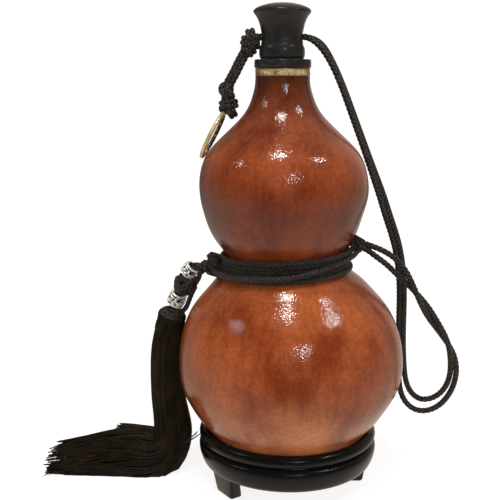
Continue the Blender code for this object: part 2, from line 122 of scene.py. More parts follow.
class Graph:
    """A node tree that is written from Python."""

    def __init__(self, tree):
        self.tree = tree

    def node(self, kind, settings=None, inputs=None, out=0):
        """Add a node: its settings go first, then the values or links of its sockets."""
        made = self.tree.nodes.new(kind)
        for option, value in (settings or {}).items():
            if option == "stops":
                set_stops(made.color_ramp, value)
            else:
                setattr(made, option, value)
        for place, value in (inputs or {}).items():
            if isinstance(value, Value):
                self.tree.links.new(value.socket, made.inputs[place])
            else:
                made.inputs[place].default_value = value
        return Value(self, made.outputs[out])

    def maths(self, operation, *values):
        return self.node("ShaderNodeMath", {"operation": operation}, dict(enumerate(values)))

    def vector_maths(self, operation, *values, out=0):
        return self.node(
            "ShaderNodeVectorMath", {"operation": operation}, dict(enumerate(values)), out
        )

    def sine(self, value):
        return self.maths("SINE", value)

    def cosine(self, value):
        return self.maths("COSINE", value)

    def scaled(self, vector, factor):
        return self.node(
            "ShaderNodeVectorMath", {"operation": "SCALE"}, {0: vector, "Scale": factor}
        )

    def multiplied(self, colour, tint, factor=1.0):
        """The colour with a tint multiplied in."""
        return self.node(
            "ShaderNodeMix",
            {"data_type": "RGBA", "blend_type": "MULTIPLY"},
            {"Factor": factor, "A": colour, "B": tint},
            "Result",
        )


print("expressions ready")

# %% [markdown]
# ## Geometry trees
#
# What repeats along a path, such as the yarns of a braid or the threads of a tassel, is grown
# by Geometry Nodes. Each tree has named inputs for its sizes. We run it once on a simple line
# of edges and keep the result as a plain mesh, so that nothing is left to evaluate later.


# %% Trees
SOCKETS = {float: "NodeSocketFloat", int: "NodeSocketInt"}


def new_tree(name, sizes):
    """A geometry tree with a geometry in and out, a material and the named sizes."""
    tree = bpy.data.node_groups.new(name, "GeometryNodeTree")
    for kind, way in (("Geometry", "OUTPUT"), ("Geometry", "INPUT"), ("Material", "INPUT")):
        tree.interface.new_socket(kind, in_out=way, socket_type="NodeSocket" + kind)
    for label, value in sizes.items():
        kind = SOCKETS[type(value)]
        tree.interface.new_socket(label, in_out="INPUT", socket_type=kind).default_value = value
    graph = Graph(tree)
    entry = tree.nodes.new("NodeGroupInput")
    given = {socket.name: Value(graph, socket) for socket in entry.outputs if socket.name}
    return tree, graph, given


def close_tree(graph, geometry, look):
    """End a tree in real geometry with its material."""
    smooth = graph.node("GeometryNodeSetShadeSmooth", None, {"Geometry": geometry})
    real = graph.node("GeometryNodeRealizeInstances", None, {"Geometry": smooth})
    dressed = graph.node("GeometryNodeSetMaterial", None, {"Geometry": real, "Material": look})
    leave = graph.tree.nodes.new("NodeGroupOutput")
    graph.tree.links.new(dressed.socket, leave.inputs[0])


print("trees ready")


# %% Growing a mesh
def line_object(name, lines, closed=False, facts=None):
    """An object of edges along the lines, in metres, with facts kept at each point."""
    edges = []
    first = 0
    for line in lines:
        last = first + len(line) - 1
        edges += [(i, i + 1) for i in range(first, last)]
        if closed:
            edges.append((last, first))
        first = last + 1
    mesh = bpy.data.meshes.new(name)
    mesh.from_pydata([tuple(p) for p in np.concatenate(lines)], edges, [])
    for label, values in (facts or {}).items():
        values = np.asarray(values, np.float32)
        kind, field = ("FLOAT_VECTOR", "vector") if values.ndim == 2 else ("FLOAT", "value")
        mesh.attributes.new(label, kind, "POINT").data.foreach_set(field, values.ravel())
    return placed(name, mesh)


def grown(name, source, tree, look, **sizes):
    """Run a tree on an object and keep what it makes as a plain mesh of that name."""
    grow = source.modifiers.new("grow", "NODES")
    grow.node_group = tree
    sizes["Material"] = look
    for item in tree.interface.items_tree:
        if item.in_out == "INPUT" and item.name in sizes:
            grow[item.identifier] = sizes[item.name]
    bpy.context.view_layer.update()
    graph = bpy.context.evaluated_depsgraph_get()
    mesh = bpy.data.meshes.new_from_object(
        source.evaluated_get(graph), preserve_all_data_layers=True, depsgraph=graph
    )
    source.modifiers.remove(grow)
    bpy.data.objects.remove(source)
    mesh.materials.clear()
    mesh.materials.append(look)
    mesh.polygons.foreach_set("material_index", [0] * len(mesh.polygons))
    return placed(name, mesh)


def placed(name, mesh):
    """A new object at the origin for a finished mesh."""
    made = bpy.data.objects.new(name, mesh)
    bpy.context.scene.collection.objects.link(made)
    return made


def settle(piece, slot, *nodes):
    """The piece rides on the part and stands for frame nodes; the slot is not used."""
    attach(piece, "root")
    if nodes:
        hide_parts(*nodes)
    piece.data.update()
    print(f"{piece.name}: {sum(len(p.vertices) - 2 for p in piece.data.polygons)} triangles")
    return piece


print("ready to grow")

# %% [markdown]
# ## Smooth lines
#
# A cord's route is a short list of given points. A natural cubic spline through them
# gives the line that a real cord would take, with no straight runs and no corners.


# %% Splines
def spline(knots, values, at):
    """The natural cubic spline through values at the knots, read at other places."""
    gaps = np.diff(knots)
    slopes = np.diff(values, axis=0) / gaps[:, None]
    size = len(knots)
    system = np.eye(size)
    right = np.zeros_like(values)
    for i in range(1, size - 1):
        system[i, i - 1 : i + 2] = gaps[i - 1], 2 * (gaps[i - 1] + gaps[i]), gaps[i]
        right[i] = 6 * (slopes[i] - slopes[i - 1])
    bends = np.linalg.solve(system, right)
    i = np.clip(np.searchsorted(knots, at, side="right") - 1, 0, size - 2)
    ahead = (at - knots[i])[:, None]
    gap = gaps[i][:, None]
    start_slope = slopes[i] - gap * (2 * bends[i] + bends[i + 1]) / 6
    return (
        values[i]
        + ahead * start_slope
        + ahead**2 * bends[i] / 2
        + ahead**3 * (bends[i + 1] - bends[i]) / (6 * gap)
    )


def distances(points):
    """How far along a line each of its points is."""
    gaps = np.linalg.norm(np.diff(points, axis=0), axis=1)
    return np.concatenate([[0.0], np.cumsum(gaps)])


def smooth_curve(points, step, measured=3):
    """Points a step apart on the smooth curve through the given ones."""
    points = np.array(points, float)
    knots = distances(points[:, :measured])
    count = int(round(knots[-1] / step)) + 1
    return spline(knots, points, np.linspace(0.0, knots[-1], count))


def unit(vectors):
    return vectors / np.linalg.norm(vectors, axis=-1, keepdims=True)


def length_of(points):
    return float(distances(points)[-1])


print("splines ready")

# %% [markdown]
# ## The braided cord
#
# Knotting cord is a round braid: four yarns wind one way round a core and four the other way,
# and each passes over and under those it meets. Painting that on a smooth tube looks flat in
# a close view, so the yarns are real. The tree copies the cord's line once for each yarn,
# winds the copies round it, lets their distance from the middle rise and fall as they cross,
# and sweeps a flat yarn along each. Steps that the tassel's threads need too are functions.


# %% Steps of a tree
def copied_line(graph, given, amount):
    """The line as a fine curve, its copies, and the number of each copy."""
    line = graph.node("GeometryNodeMeshToCurve", None, {"Mesh": given["Geometry"]})
    fine = graph.node(
        "GeometryNodeResampleCurve", {"mode": "LENGTH"}, {"Curve": line, "Length": given["Step"]}
    )
    copies = graph.node(
        "GeometryNodeDuplicateElements",
        {"domain": "SPLINE"},
        {"Geometry": fine, "Amount": amount},
    )
    return fine, copies, Value(graph, copies.socket.node.outputs["Duplicate Index"])


def kept(graph, geometry, name, value, kind="FLOAT"):
    """The geometry with a value kept at each point, under a name."""
    return graph.node(
        "GeometryNodeStoreNamedAttribute",
        {"data_type": kind, "domain": "POINT"},
        {"Geometry": geometry, "Name": name, "Value": value},
    )


def read(graph, name, kind="FLOAT"):
    return graph.node("GeometryNodeInputNamedAttribute", {"data_type": kind}, {"Name": name})


def circle(graph, sides, radius):
    return graph.node(
        "GeometryNodeCurvePrimitiveCircle",
        {"mode": "RADIUS"},
        {"Resolution": sides, "Radius": radius},
    )


def swept(graph, curve, profile):
    """A closed profile swept along a curve, with its ends filled."""
    return graph.node(
        "GeometryNodeCurveToMesh",
        None,
        {"Curve": curve, "Profile Curve": profile, "Fill Caps": True},
    )


print("steps ready")

# %% Braid tree
BRAID_SIZES = {"Radius": 0.00125, "Pitch": 0.0094, "Yarns": 4, "Step": 0.0004}
YARN_REACH = 0.86
YARN_WEAVE = 0.05
YARN_WIDTH = 0.50
YARN_THICKNESS = 0.21
CORE_SHARE = 0.78


def braid_tree():
    tree, graph, given = new_tree("braided_cord", BRAID_SIZES)
    fine, copies, number = copied_line(graph, given, given["Yarns"] * 2)
    way = 1 - 2 * graph.maths("MODULO", number, 2.0)
    start = graph.maths("FLOOR", number / 2) / given["Yarns"]
    along = graph.node("GeometryNodeSplineParameter", out="Length")
    turns = along / given["Pitch"]
    angle = TAU * (way * turns + start)
    over = way * graph.cosine(TAU * turns * given["Yarns"])
    reach = given["Radius"] * (YARN_REACH + YARN_WEAVE * over)

    tangent = graph.node("GeometryNodeInputTangent")
    normal = graph.node("GeometryNodeInputNormal")
    side = graph.vector_maths("CROSS_PRODUCT", tangent, normal)
    radial = graph.vector_maths(
        "ADD",
        graph.scaled(normal, graph.cosine(angle)),
        graph.scaled(side, graph.sine(angle)),
    )
    turned = kept(graph, copies, "radial", radial, "FLOAT_VECTOR")
    outward = read(graph, "radial", "FLOAT_VECTOR")
    # The yarn's height over its crossings is kept so the finish can paint the dips darker as shade
    # and the crests lighter as highlight.
    marked = kept(graph, turned, "crest", 0.5 + 0.5 * over)
    offset = graph.scaled(outward, reach)
    moved = graph.node("GeometryNodeSetPosition", None, {"Geometry": marked, "Offset": offset})
    facing = graph.node(
        "GeometryNodeSetCurveNormal", {"mode": "FREE"}, {"Curve": moved, "Normal": outward}
    )
    width = given["Radius"] * YARN_WIDTH
    thickness = given["Radius"] * YARN_THICKNESS
    flat = graph.node("ShaderNodeCombineXYZ", None, {"X": thickness, "Y": width, "Z": 1.0})
    yarn_end = graph.node(
        "GeometryNodeTransform", None, {"Geometry": circle(graph, 4, 1.0), "Scale": flat}
    )
    yarns = swept(graph, facing, yarn_end)
    core = swept(graph, fine, circle(graph, 8, given["Radius"] * CORE_SHARE))
    joined = graph.tree.nodes.new("GeometryNodeJoinGeometry")
    graph.tree.links.new(core.socket, joined.inputs[0])
    graph.tree.links.new(yarns.socket, joined.inputs[0])
    close_tree(graph, Value(graph, joined.outputs[0]), given["Material"])
    return tree


BRAID = braid_tree()
print("braid tree nodes:", len(BRAID.nodes))

# %% [markdown]
# The cord's finish is a nearly black brown. Its fibres catch a little light, so the roughness
# varies, fine lines run along the yarns, and a few fibres are a lighter brown. Painted shade
# darkens each yarn where it dips under another, and a painted highlight lightens its crest.
# Every finish in this notebook starts from the same few tools, so they come first.


# %% Finish tools
def new_look(name, roughness=0.5, metallic=0.0):
    """A Principled material, its graph and its shader node."""
    made = bpy.data.materials.new(name)
    made.use_nodes = True
    shader = made.node_tree.nodes["Principled BSDF"]
    shader.inputs["Roughness"].default_value = roughness
    shader.inputs["Metallic"].default_value = metallic
    return made, Graph(made.node_tree), shader


def feed(graph, shader, **values):
    """Link values to the shader's sockets, whose spaces are written as underscores."""
    for name, value in values.items():
        graph.tree.links.new(value.socket, shader.inputs[name.replace("_", " ")])


def bump(graph, height, strength, distance):
    return graph.node(
        "ShaderNodeBump", None, {"Strength": strength, "Distance": distance, "Height": height}
    )


def here(graph):
    return graph.node("ShaderNodeTexCoord", out="Object")


def along_axis(graph, axis):
    """How far along an axis a point of the piece is, in metres."""
    return graph.node("ShaderNodeSeparateXYZ", None, {"Vector": here(graph)}, axis)


def ramp(graph, factor, stops):
    return graph.node("ShaderNodeValToRGB", {"stops": stops}, {"Fac": factor})


def speckle(graph, scale, detail, stretch=(1.0, 1.0, 1.0)):
    """Noise on Object coordinates, with its grain stretched along the axes."""
    where = graph.node("ShaderNodeMapping", None, {"Vector": here(graph), "Scale": stretch})
    return graph.node(
        "ShaderNodeTexNoise", None, {"Vector": where, "Scale": scale, "Detail": detail}
    )


print("finish tools ready")


# %% Cord finish
def braid_look():
    look, graph, shader = new_look("cord_braid")
    fibres = speckle(graph, 2600.0, 2.0)
    patches = speckle(graph, 420.0, 2.0)
    crest = graph.node("ShaderNodeAttribute", {"attribute_name": "crest"}, out="Fac")
    # Painted shade and highlight: each yarn is darker where it dips under another and lighter on
    # its crest. Fibres and patches give the cord's own tone.
    colour = ramp(
        graph,
        0.28 * fibres + 0.22 * patches + 0.50 * crest,
        [
            (0.38, (0.0015, 0.0012, 0.001)),
            (0.62, (0.007, 0.0055, 0.0045)),
            (0.82, (0.062, 0.048, 0.038)),
        ],
    )
    feed(graph, shader, Base_Color=colour, Roughness=0.34 + 0.30 * fibres)
    feed(graph, shader, Normal=bump(graph, fibres, 0.55, 0.00012))
    shader.inputs["Sheen Weight"].default_value = 0.05
    shader.inputs["Sheen Roughness"].default_value = 0.4
    return look


BRAID_LOOK = braid_look()
print("cord finish ready")

# %% [markdown]
# ## The carrying cord
#
# Two strands leave the knot at the right of the waist, hang in a loop, pass behind the lower
# bulb's edge, climb to the stopper and go through its cross hole. Behind the stopper knot
# they come down as a link to the knots that hold the ring. The route is the frame's own, one
# row for each point of the pair's middle line: its place in millimetres, the distance
# between the strands, and the pair's twist.

# %% Carrying cord
CORD_D = 2.5 * MM
CARRY_CORD_R = CORD_D * 0.57
CARRY_ROUTE = (
    (35.4, -3.5, 126.6, 2.3, 90),
    (38.0, -3.4, 125.6, 2.55, 90),
    (43.0, -4.5, 123.1, 4.0, 90),
    (49.3, -5.0, 119.0, 5.0, 90),
    (54.6, -5.0, 113.8, 4.8, 98),
    (59.4, -4.5, 107.8, 3.5, 135),
    (63.4, -4.0, 102.0, 2.9, 180),
    (68.9, -3.0, 93.8, 2.9, 240),
    (72.6, -2.0, 88.2, 2.7, 275),
    (77.5, -1.0, 81.0, 2.6, 320),
    (81.5, 0.0, 74.2, 2.9, 360),
    (84.4, 1.5, 67.3, 3.0, 405),
    (86.0, 3.0, 59.6, 3.2, 440),
    (85.2, 4.5, 50.4, 3.5, 450),
    (81.4, 6.2, 42.5, 4.6, 450),
    (75.8, 8.2, 37.7, 6.2, 450),
    (69.8, 10.5, 36.6, 6.6, 450),
    (64.9, 13.0, 39.8, 5.6, 450),
    (62.2, 15.5, 46.2, 4.0, 450),
    (61.2, 17.5, 56.0, 3.0, 450),
    (60.7, 18.5, 70.2, 2.55, 450),
    (60.4, 18.0, 84.3, 2.55, 450),
    (59.9, 16.5, 98.0, 2.55, 450),
    (58.2, 14.2, 112.6, 2.55, 450),
    (55.0, 12.0, 125.9, 2.55, 452),
    (50.4, 10.0, 138.8, 2.55, 460),
    (46.2, 8.2, 150.5, 2.55, 475),
    (41.4, 6.5, 162.8, 2.55, 495),
    (35.2, 4.2, 178.4, 2.55, 508),
    (29.3, 2.5, 193.2, 2.55, 512),
    (23.2, 1.0, 208.0, 2.55, 516),
    (17.4, 0.3, 219.4, 2.55, 512),
    (11.8, 0.0, 226.2, 2.55, 512),
    (6.0, 0.0, 228.7, 2.5, 538),
    (0.0, 0.0, 228.8, 2.55, 540),
    (-8.0, 0.0, 228.8, 2.55, 540),
    (-14.6, 0.0, 228.8, 2.55, 540),
    (-18.4, 0.0, 228.0, 2.5, 575),
    (-21.4, 0.0, 224.6, 2.5, 615),
    (-24.9, 0.0, 218.7, 2.45, 630),
    (-26.9, 0.0, 214.9, 2.45, 630),
    (-28.6, 0.0, 211.5, 2.45, 630),
    (-30.2, 0.0, 208.7, 2.45, 630),
    (-32.2, 0.0, 204.0, 2.5, 630),
    (-32.4, 0.0, 199.0, 2.5, 630),
    (-32.2, 0.0, 195.0, 2.5, 630),
)


def pair_strand(route, side, step):
    """One strand of a pair of cords, in metres: side is 1 or -1."""
    line = smooth_curve(route, step)
    middle, spread, twist = line[:, :3], line[:, 3:4], np.radians(line[:, 4:5])
    along = unit(np.gradient(middle, axis=0))
    across = unit(np.cross(along, (0.0, 1.0, 0.0)))
    behind = np.cross(across, along)
    strand = middle + side * spread / 2 * (np.cos(twist) * behind + np.sin(twist) * across)
    return strand * MM


def braided(name, lines, closed=False, **sizes):
    """Braided cord along each of the lines."""
    return grown(name, line_object(name, lines, closed), BRAID, BRAID_LOOK, **sizes)


for letter, side in (("a", 1), ("b", -1)):
    points = pair_strand(CARRY_ROUTE, side, 1.0)
    cord = braided(f"carry_cord_{letter}", [points], Radius=CARRY_CORD_R)
    nodes = (f"carry_strand_{letter}", f"link_strand_{letter}")
    settle(cord, "cord_braid", *nodes)
    print(f"carry cord {letter}: {length_of(points):.3f} m")

# %% [markdown]
# ## The tassel's cord
#
# A twisted pair of cords leaves the knot at the left of the waist and carries two silver
# beads, a button knot between them, and the tassel. A second end of the cord passes beside
# the beads. A pair is made from its middle line, as the carrying cord is.

# %% Tassel cord
TASSEL_ROUTE = (
    (-41.4, 0.9, 116.0),
    (-43.2, 1.3, 115.4),
    (-45.4, 2.0, 114.9),
    (-48.6, 3.0, 114.2),
    (-52.0, 4.2, 112.2),
    (-53.8, 5.3, 108.4),
    (-54.6, 6.1, 104.3),
    (-57.1, 7.3, 100.0),
    (-59.5, 8.5, 95.4),
    (-61.0, 9.4, 90.6),
)
TASSEL_TWIST = 28.0
TASSEL_SPREAD = 2.1
TASSEL_CORD_R = 0.00115
tassel_line = smooth_curve(TASSEL_ROUTE, 1.0) * MM
down = np.linspace(0.0, length_of(tassel_line) / MM, len(tassel_line))
spread = np.full(len(down), TASSEL_SPREAD)
twisted = np.column_stack([tassel_line / MM, spread, 60 + TASSEL_TWIST * down])
tassel_strands = [pair_strand(twisted, side, 1.0) for side in (1, -1)]
tassel_cord = braided("tassel_hanging_cord", tassel_strands, Radius=TASSEL_CORD_R)
settle(tassel_cord, "cord_braid", "tassel_cord")

BESIDE_UPPER_BEAD = (
    (-40.4, 0.3, 117.4),
    (-42.2, 0.6, 117.0),
    (-44.8, 1.5, 115.6),
    (-46.4, 2.5, 112.5),
    (-47.3, 3.5, 108.5),
    (-49.4, 4.8, 104.8),
)
BESIDE_LOWER_BEAD = (
    (-49.4, 5.0, 103.0),
    (-51.4, 6.5, 99.0),
    (-53.0, 7.5, 94.8),
    (-55.2, 8.7, 90.2),
    (-58.0, 9.5, 87.6),
)
beside_lines = [smooth_curve(route, 0.5) * MM for route in (BESIDE_UPPER_BEAD, BESIDE_LOWER_BEAD)]
beside = braided("cord_beside_beads", beside_lines, Radius=CORD_D / 2)
settle(beside, "cord_braid", "tassel_cord")
print(f"tassel cord: {length_of(tassel_line):.3f} m")

# %% [markdown]
# ## Turned shapes
#
# The gourd, the stopper, the mouth and the stand are all round, so each is a profile turned
# about an axis. We write the rings ourselves instead of using a Screw modifier: it keeps one
# shared point on the axis, and it lets the gourd's axis lean a little at each height, as the
# real one does.


# %% Lathe
def angles_round(count):
    return np.linspace(0.0, TAU, count, endpoint=False)


def skin(shape, rings, closed=False):
    """Faces from each ring of points to the next, and from the last to the first if closed."""
    for near, far in zip(rings, rings[1:] + (rings[:1] if closed else [])):
        for i in range(len(near)):
            j = (i + 1) % len(near)
            corners = list(dict.fromkeys((near[i], near[j], far[j], far[i])))
            if len(corners) > 2:
                shape.faces.new(corners)


def from_shape(name, shape):
    """A smooth object made from a shape, which is used up."""
    mesh = bpy.data.meshes.new(name)
    shape.to_mesh(mesh)
    shape.free()
    mesh.shade_smooth()
    return placed(name, mesh)


def lathe(name, profile, centre=(0.0, 0.0), steps=128, closed=False, shift=None):
    """A turned mesh in millimetres: a closed profile is a ring, an open one ends on the axis."""
    shape = bmesh.new()
    rings = []
    for r, z in profile:
        x = centre[0] + (shift(z) if shift else 0.0)
        y = centre[1]
        if r < 1e-6:
            rings.append([shape.verts.new((x * MM, y * MM, z * MM))] * steps)
            continue
        ring = []
        for a in angles_round(steps):
            place = ((x + r * math.cos(a)) * MM, (y + r * math.sin(a)) * MM, z * MM)
            ring.append(shape.verts.new(place))
        rings.append(ring)
    skin(shape, rings, closed)
    bmesh.ops.recalc_face_normals(shape, faces=shape.faces)
    return from_shape(name, shape)


def arc(centre_r, centre_z, radius, start, end, count):
    """Profile points on an arc, with angles in degrees from +R towards +Z."""
    angles = np.radians(np.linspace(start, end, count))
    return [(centre_r + radius * math.cos(a), centre_z + radius * math.sin(a)) for a in angles]


def dress(piece, look, sharp=None):
    """Give the piece one material, and keep edges sharper than an angle crisp."""
    piece.data.materials.clear()
    piece.data.materials.append(look)
    if sharp:
        piece.data.set_sharp_from_angle(angle=math.radians(sharp))
    return piece


print("lathe ready")

# %% [markdown]
# ## The gourd
#
# A gourd grows, so nothing on it is quite round. The outline is a smooth curve through
# measured stations, each a radius, a height and the lean of the axis there. On top of that
# the skin swells and dips by a tenth or two of a millimetre, which is what makes the lights'
# reflections wander a little.

# %% Gourd outline
GOURD_STATIONS = (
    (0.0, 9.5, -1.4),
    (13.0, 10.9, -1.4),
    (24.5, 15.0, -1.4),
    (33.0, 20.8, -1.4),
    (38.9, 27.0, -1.4),
    (45.6, 35.0, -1.2),
    (52.1, 45.0, -0.9),
    (56.4, 54.0, -0.4),
    (57.9, 64.0, 0.0),
    (57.4, 73.0, 0.0),
    (55.5, 82.0, -0.1),
    (49.3, 95.0, -0.3),
    (42.0, 103.5, -0.5),
    (36.4, 109.5, -1.1),
    (31.6, 114.0, -2.0),
    (29.6, 118.5, -2.8),
    (30.3, 122.0, -3.2),
    (32.4, 125.5, -3.5),
    (35.8, 131.0, -3.9),
    (39.9, 142.0, -4.2),
    (42.2, 152.0, -4.0),
    (41.6, 163.0, -4.3),
    (38.2, 172.0, -4.5),
    (32.1, 179.0, -4.6),
    (24.7, 186.0, -4.7),
    (17.8, 194.0, -4.8),
    (14.8, 201.0, -4.9),
    (13.5, 207.0, -5.0),
    (13.4, 210.0, -5.0),
)
WALL = 4.0
WAIST_Z = 118.5
NECK_X = -5.0
NECK_TOP = 213.8
NECK_BORE_R = 9.0
BAND_SEAT_R = 12.0
print("gourd outline:", len(GOURD_STATIONS), "stations")


# %% Gourd body
SWELL = 0.09
SWELL_SCALE = 50.0
PORE = 0.010
PORE_SCALE = 160.0
SUNK = 0.06
SWELL_FADE = 25.0
NECK_FADE = 30.0
NECK_EDGE_Z = 208.0
SEAT_EDGE_Z = 32.0
SKIN_MIN_R = 20.0


def outward(outline):
    """The outline's outward normals in the plane of radius and height."""
    along = unit(np.gradient(outline[:, :2], axis=0))
    return np.stack([along[:, 1], -along[:, 0]], axis=1)


def swell(piece, amount):
    """Move each point along its normal by an amount in millimetres that a rule gives."""
    ways = [vertex.normal.copy() for vertex in piece.data.vertices]
    for vertex, way in zip(piece.data.vertices, ways):
        vertex.co += way * amount(vertex.co.copy(), way) * MM


def waist_free(place, way):
    """Slow swells of the skin that fade out at the waist, the neck and the seat."""
    height = place.z / MM
    if place.to_2d().length < SKIN_MIN_R * MM or height < SEAT_EDGE_Z:
        return 0.0
    above_waist = abs(height - WAIST_Z) / SWELL_FADE
    below_rim = max(0.0, (NECK_EDGE_Z - height) / NECK_FADE)
    swells = noise.noise(place * SWELL_SCALE) * SWELL + noise.noise(place * PORE_SCALE) * PORE
    return min(1.0, above_waist, below_rim) * (swells - SUNK)


def gourd_body():
    outline = smooth_curve(GOURD_STATIONS, 1.0, 2)
    coarse = smooth_curve(GOURD_STATIONS, 8.0, 2)
    inside = coarse[:, :2] - WALL * outward(coarse)
    inside[0] = 0.0, GOURD_STATIONS[0][1] + WALL
    inside = inside[(inside[:, 0] > NECK_BORE_R) | (inside[:, 1] < WAIST_Z)]
    profile = [tuple(p) for p in inside if p[0] >= 0.0]
    profile += [(NECK_BORE_R, profile[-1][1] + 4.0), (NECK_BORE_R, NECK_TOP)]
    profile += [(BAND_SEAT_R, NECK_TOP), (BAND_SEAT_R, GOURD_STATIONS[-1][1])]
    profile += [tuple(p) for p in outline[::-1, :2]]
    made = lathe(
        "gourd_body",
        profile,
        shift=lambda z: float(np.interp(z, outline[:, 1], outline[:, 2])),
    )
    swell(made, waist_free)
    return made


gourd = gourd_body()
print("gourd points:", len(gourd.data.vertices))

# %% [markdown]
# Its skin is stained red-brown and varnished. The colour changes with height, from a dark
# neck to an orange waist, and long mottled patches run through it. Part of that change is
# painted reflection: the lower bulb is painted paler as the pale floor's reflection, and a
# band where the upper bulb meets the neck is painted paler as a reflection. The varnish has
# a fine orange-peel texture: a small bump that breaks each highlight into sparks.


# %% Gourd finish
GOURD_HEIGHT = 0.215


def gourd_look():
    look, graph, shader = new_look("gourd_lacquer", 0.2)
    height = along_axis(graph, "Z") / GOURD_HEIGHT
    # Colour by height: the stain's own tone, with painted reflection of the pale floor making the
    # lower bulb paler (stops 0.08 and 0.20) and painted reflection lightening the stop where the
    # upper bulb meets the neck (0.88).
    stain_and_painted_reflection = ramp(
        graph,
        height,
        [
            (0.08, (0.375, 0.130, 0.055)),
            (0.20, (0.345, 0.110, 0.044)),
            (0.31, (0.235, 0.057, 0.019)),
            (0.40, (0.265, 0.064, 0.020)),
            (0.50, (0.250, 0.061, 0.018)),
            (0.58, (0.175, 0.035, 0.011)),
            (0.68, (0.115, 0.018, 0.005)),
            (0.80, (0.210, 0.048, 0.017)),
            (0.88, (0.150, 0.036, 0.016)),
            (0.97, (0.058, 0.015, 0.006)),
        ],
    )
    drift = speckle(graph, 34.0, 4.0)
    streaks = speckle(graph, 70.0, 5.0, stretch=(1.0, 1.0, 0.35))
    fibres = speckle(graph, 420.0, 3.0, stretch=(1.0, 1.0, 0.10))
    grain = speckle(graph, 520.0, 3.0)
    patches = drift * 0.50 + streaks * 0.38 + fibres * 0.12
    deep = ramp(
        graph,
        patches,
        [(0.40, (0.60, 0.42, 0.36)), (0.52, (0.98, 0.95, 0.9)), (0.64, (1.3, 1.34, 1.3))],
    )
    fleck = ramp(graph, grain, [(0.35, (0.80, 0.78, 0.76)), (0.68, (1.12, 1.14, 1.10))])
    colour = graph.multiplied(graph.multiplied(stain_and_painted_reflection, deep), fleck, 0.8)
    peel = speckle(graph, 1400.0, 0.0)
    feed(graph, shader, Base_Color=colour, Roughness=0.08 + 0.10 * grain)
    feed(graph, shader, Normal=bump(graph, peel, 0.42, 0.0002))
    shader.inputs["IOR"].default_value = 1.5
    return look


settle(dress(gourd, gourd_look(), 35), "gourd_lacquer", "gourd_shell")

# %% [markdown]
# ## Black turned wood
#
# The mouth, the stopper and the stand are turned from hardwood, stained black and waxed. A
# lathe leaves faint rings round the axis, and the wax is thin, so the gloss is soft and a
# little uneven. One material serves all three, because its pattern follows each piece's
# height. Its colour is painted darker low down and lighter high up, as painted shade on the
# stand and painted light on the stopper.


# %% Black wood finish
WHOLE_HEIGHT = 0.245


def black_wood_look():
    look, graph, shader = new_look("black_wood")
    fine = speckle(graph, 900.0, 3.0, stretch=(0.25, 0.25, 1.0))
    rings = speckle(graph, 240.0, 2.0, stretch=(0.05, 0.05, 1.0))
    dust = speckle(graph, 90.0, 4.0)
    stain = ramp(
        graph,
        0.6 * fine + 0.4 * dust,
        [(0.32, (0.55,) * 3), (0.60, (1.0,) * 3), (0.78, (2.0,) * 3)],
    )
    # Painted light and shade: the same black is darker low down on the stand and lighter high up on
    # the stopper.
    height = along_axis(graph, "Z") / WHOLE_HEIGHT
    painted_light_by_height = ramp(graph, height, [(0.15, (0.0048, 0.0050, 0.0052)), (0.88, (0.016, 0.016, 0.0155))])
    colour = graph.multiplied(painted_light_by_height, stain)
    feed(graph, shader, Base_Color=colour, Roughness=0.16 + 0.12 * dust + 0.06 * rings)
    feed(graph, shader, Normal=bump(graph, 0.5 * rings + 0.5 * fine, 0.18, 0.0002))
    shader.inputs["IOR"].default_value = 1.33
    return look


BLACK_WOOD = black_wood_look()
print("black wood ready")

# %% [markdown]
# The mouth is a flange with a sleeve glued down inside the neck. The stopper rests on it: a
# trumpet with a rolled lip, a waist, a thin collar at its foot and a tapered spigot. A hole
# goes across it for the carrying cord.

# %% Mouth
COLLAR_SEAT = 213.9
COLLAR_TOP = 218.1
COLLAR_R = 13.9
COLLAR_BORE_R = 6.3
SLEEVE_R = 8.7
SLEEVE_BOTTOM = 200.5
EDGE = 0.7

collar_profile = [(COLLAR_BORE_R, COLLAR_TOP - 0.2), (COLLAR_BORE_R + 0.2, COLLAR_TOP)]
collar_profile += arc(COLLAR_R - EDGE, COLLAR_TOP - EDGE, EDGE, 90, 0, 7)
collar_profile += arc(COLLAR_R - EDGE, COLLAR_SEAT + EDGE, EDGE, 0, -90, 7)
collar_profile += [(SLEEVE_R, COLLAR_SEAT), (SLEEVE_R, SLEEVE_BOTTOM)]
collar_profile += [(COLLAR_BORE_R, SLEEVE_BOTTOM)]
collar = lathe("mouth_flange", collar_profile, (NECK_X, 0.0), 112, closed=True)
settle(dress(collar, BLACK_WOOD, 40), "black_wood", "mouth_collar")

# %% [markdown]
# The hole in the stopper has to be cut, and later the stand's feet have to be joined to its
# ring. A Boolean modifier does both. Its result is kept as a plain mesh, so no modifier and
# no drill is left in the scene.


# %% Cutting and joining
def drilled(piece, axis_x, height, radius):
    """Cut a hole along X through the piece, and keep the result as its mesh."""
    place = Matrix.Translation(Vector((axis_x, 0.0, height)) * MM)
    turn = Matrix.Rotation(math.radians(90), 4, "Y")
    shape = bmesh.new()
    bmesh.ops.create_cone(
        shape,
        cap_ends=True,
        segments=40,
        radius1=radius * MM,
        radius2=radius * MM,
        depth=40 * MM,
        matrix=place @ turn,
    )
    return joined_with(piece, [from_shape("drill", shape)], "DIFFERENCE")


def joined_with(piece, others, operation="UNION"):
    """The piece with the others added or cut away, kept as one plain mesh."""
    for other in others:
        cut = piece.modifiers.new("join", "BOOLEAN")
        cut.operation = operation
        cut.solver = "EXACT"
        cut.object = other
    bpy.context.view_layer.update()
    graph = bpy.context.evaluated_depsgraph_get()
    mesh = bpy.data.meshes.new_from_object(piece.evaluated_get(graph))
    piece.modifiers.clear()
    piece.data = mesh
    for other in others:
        bpy.data.objects.remove(other)
    return piece


print("cutting ready")

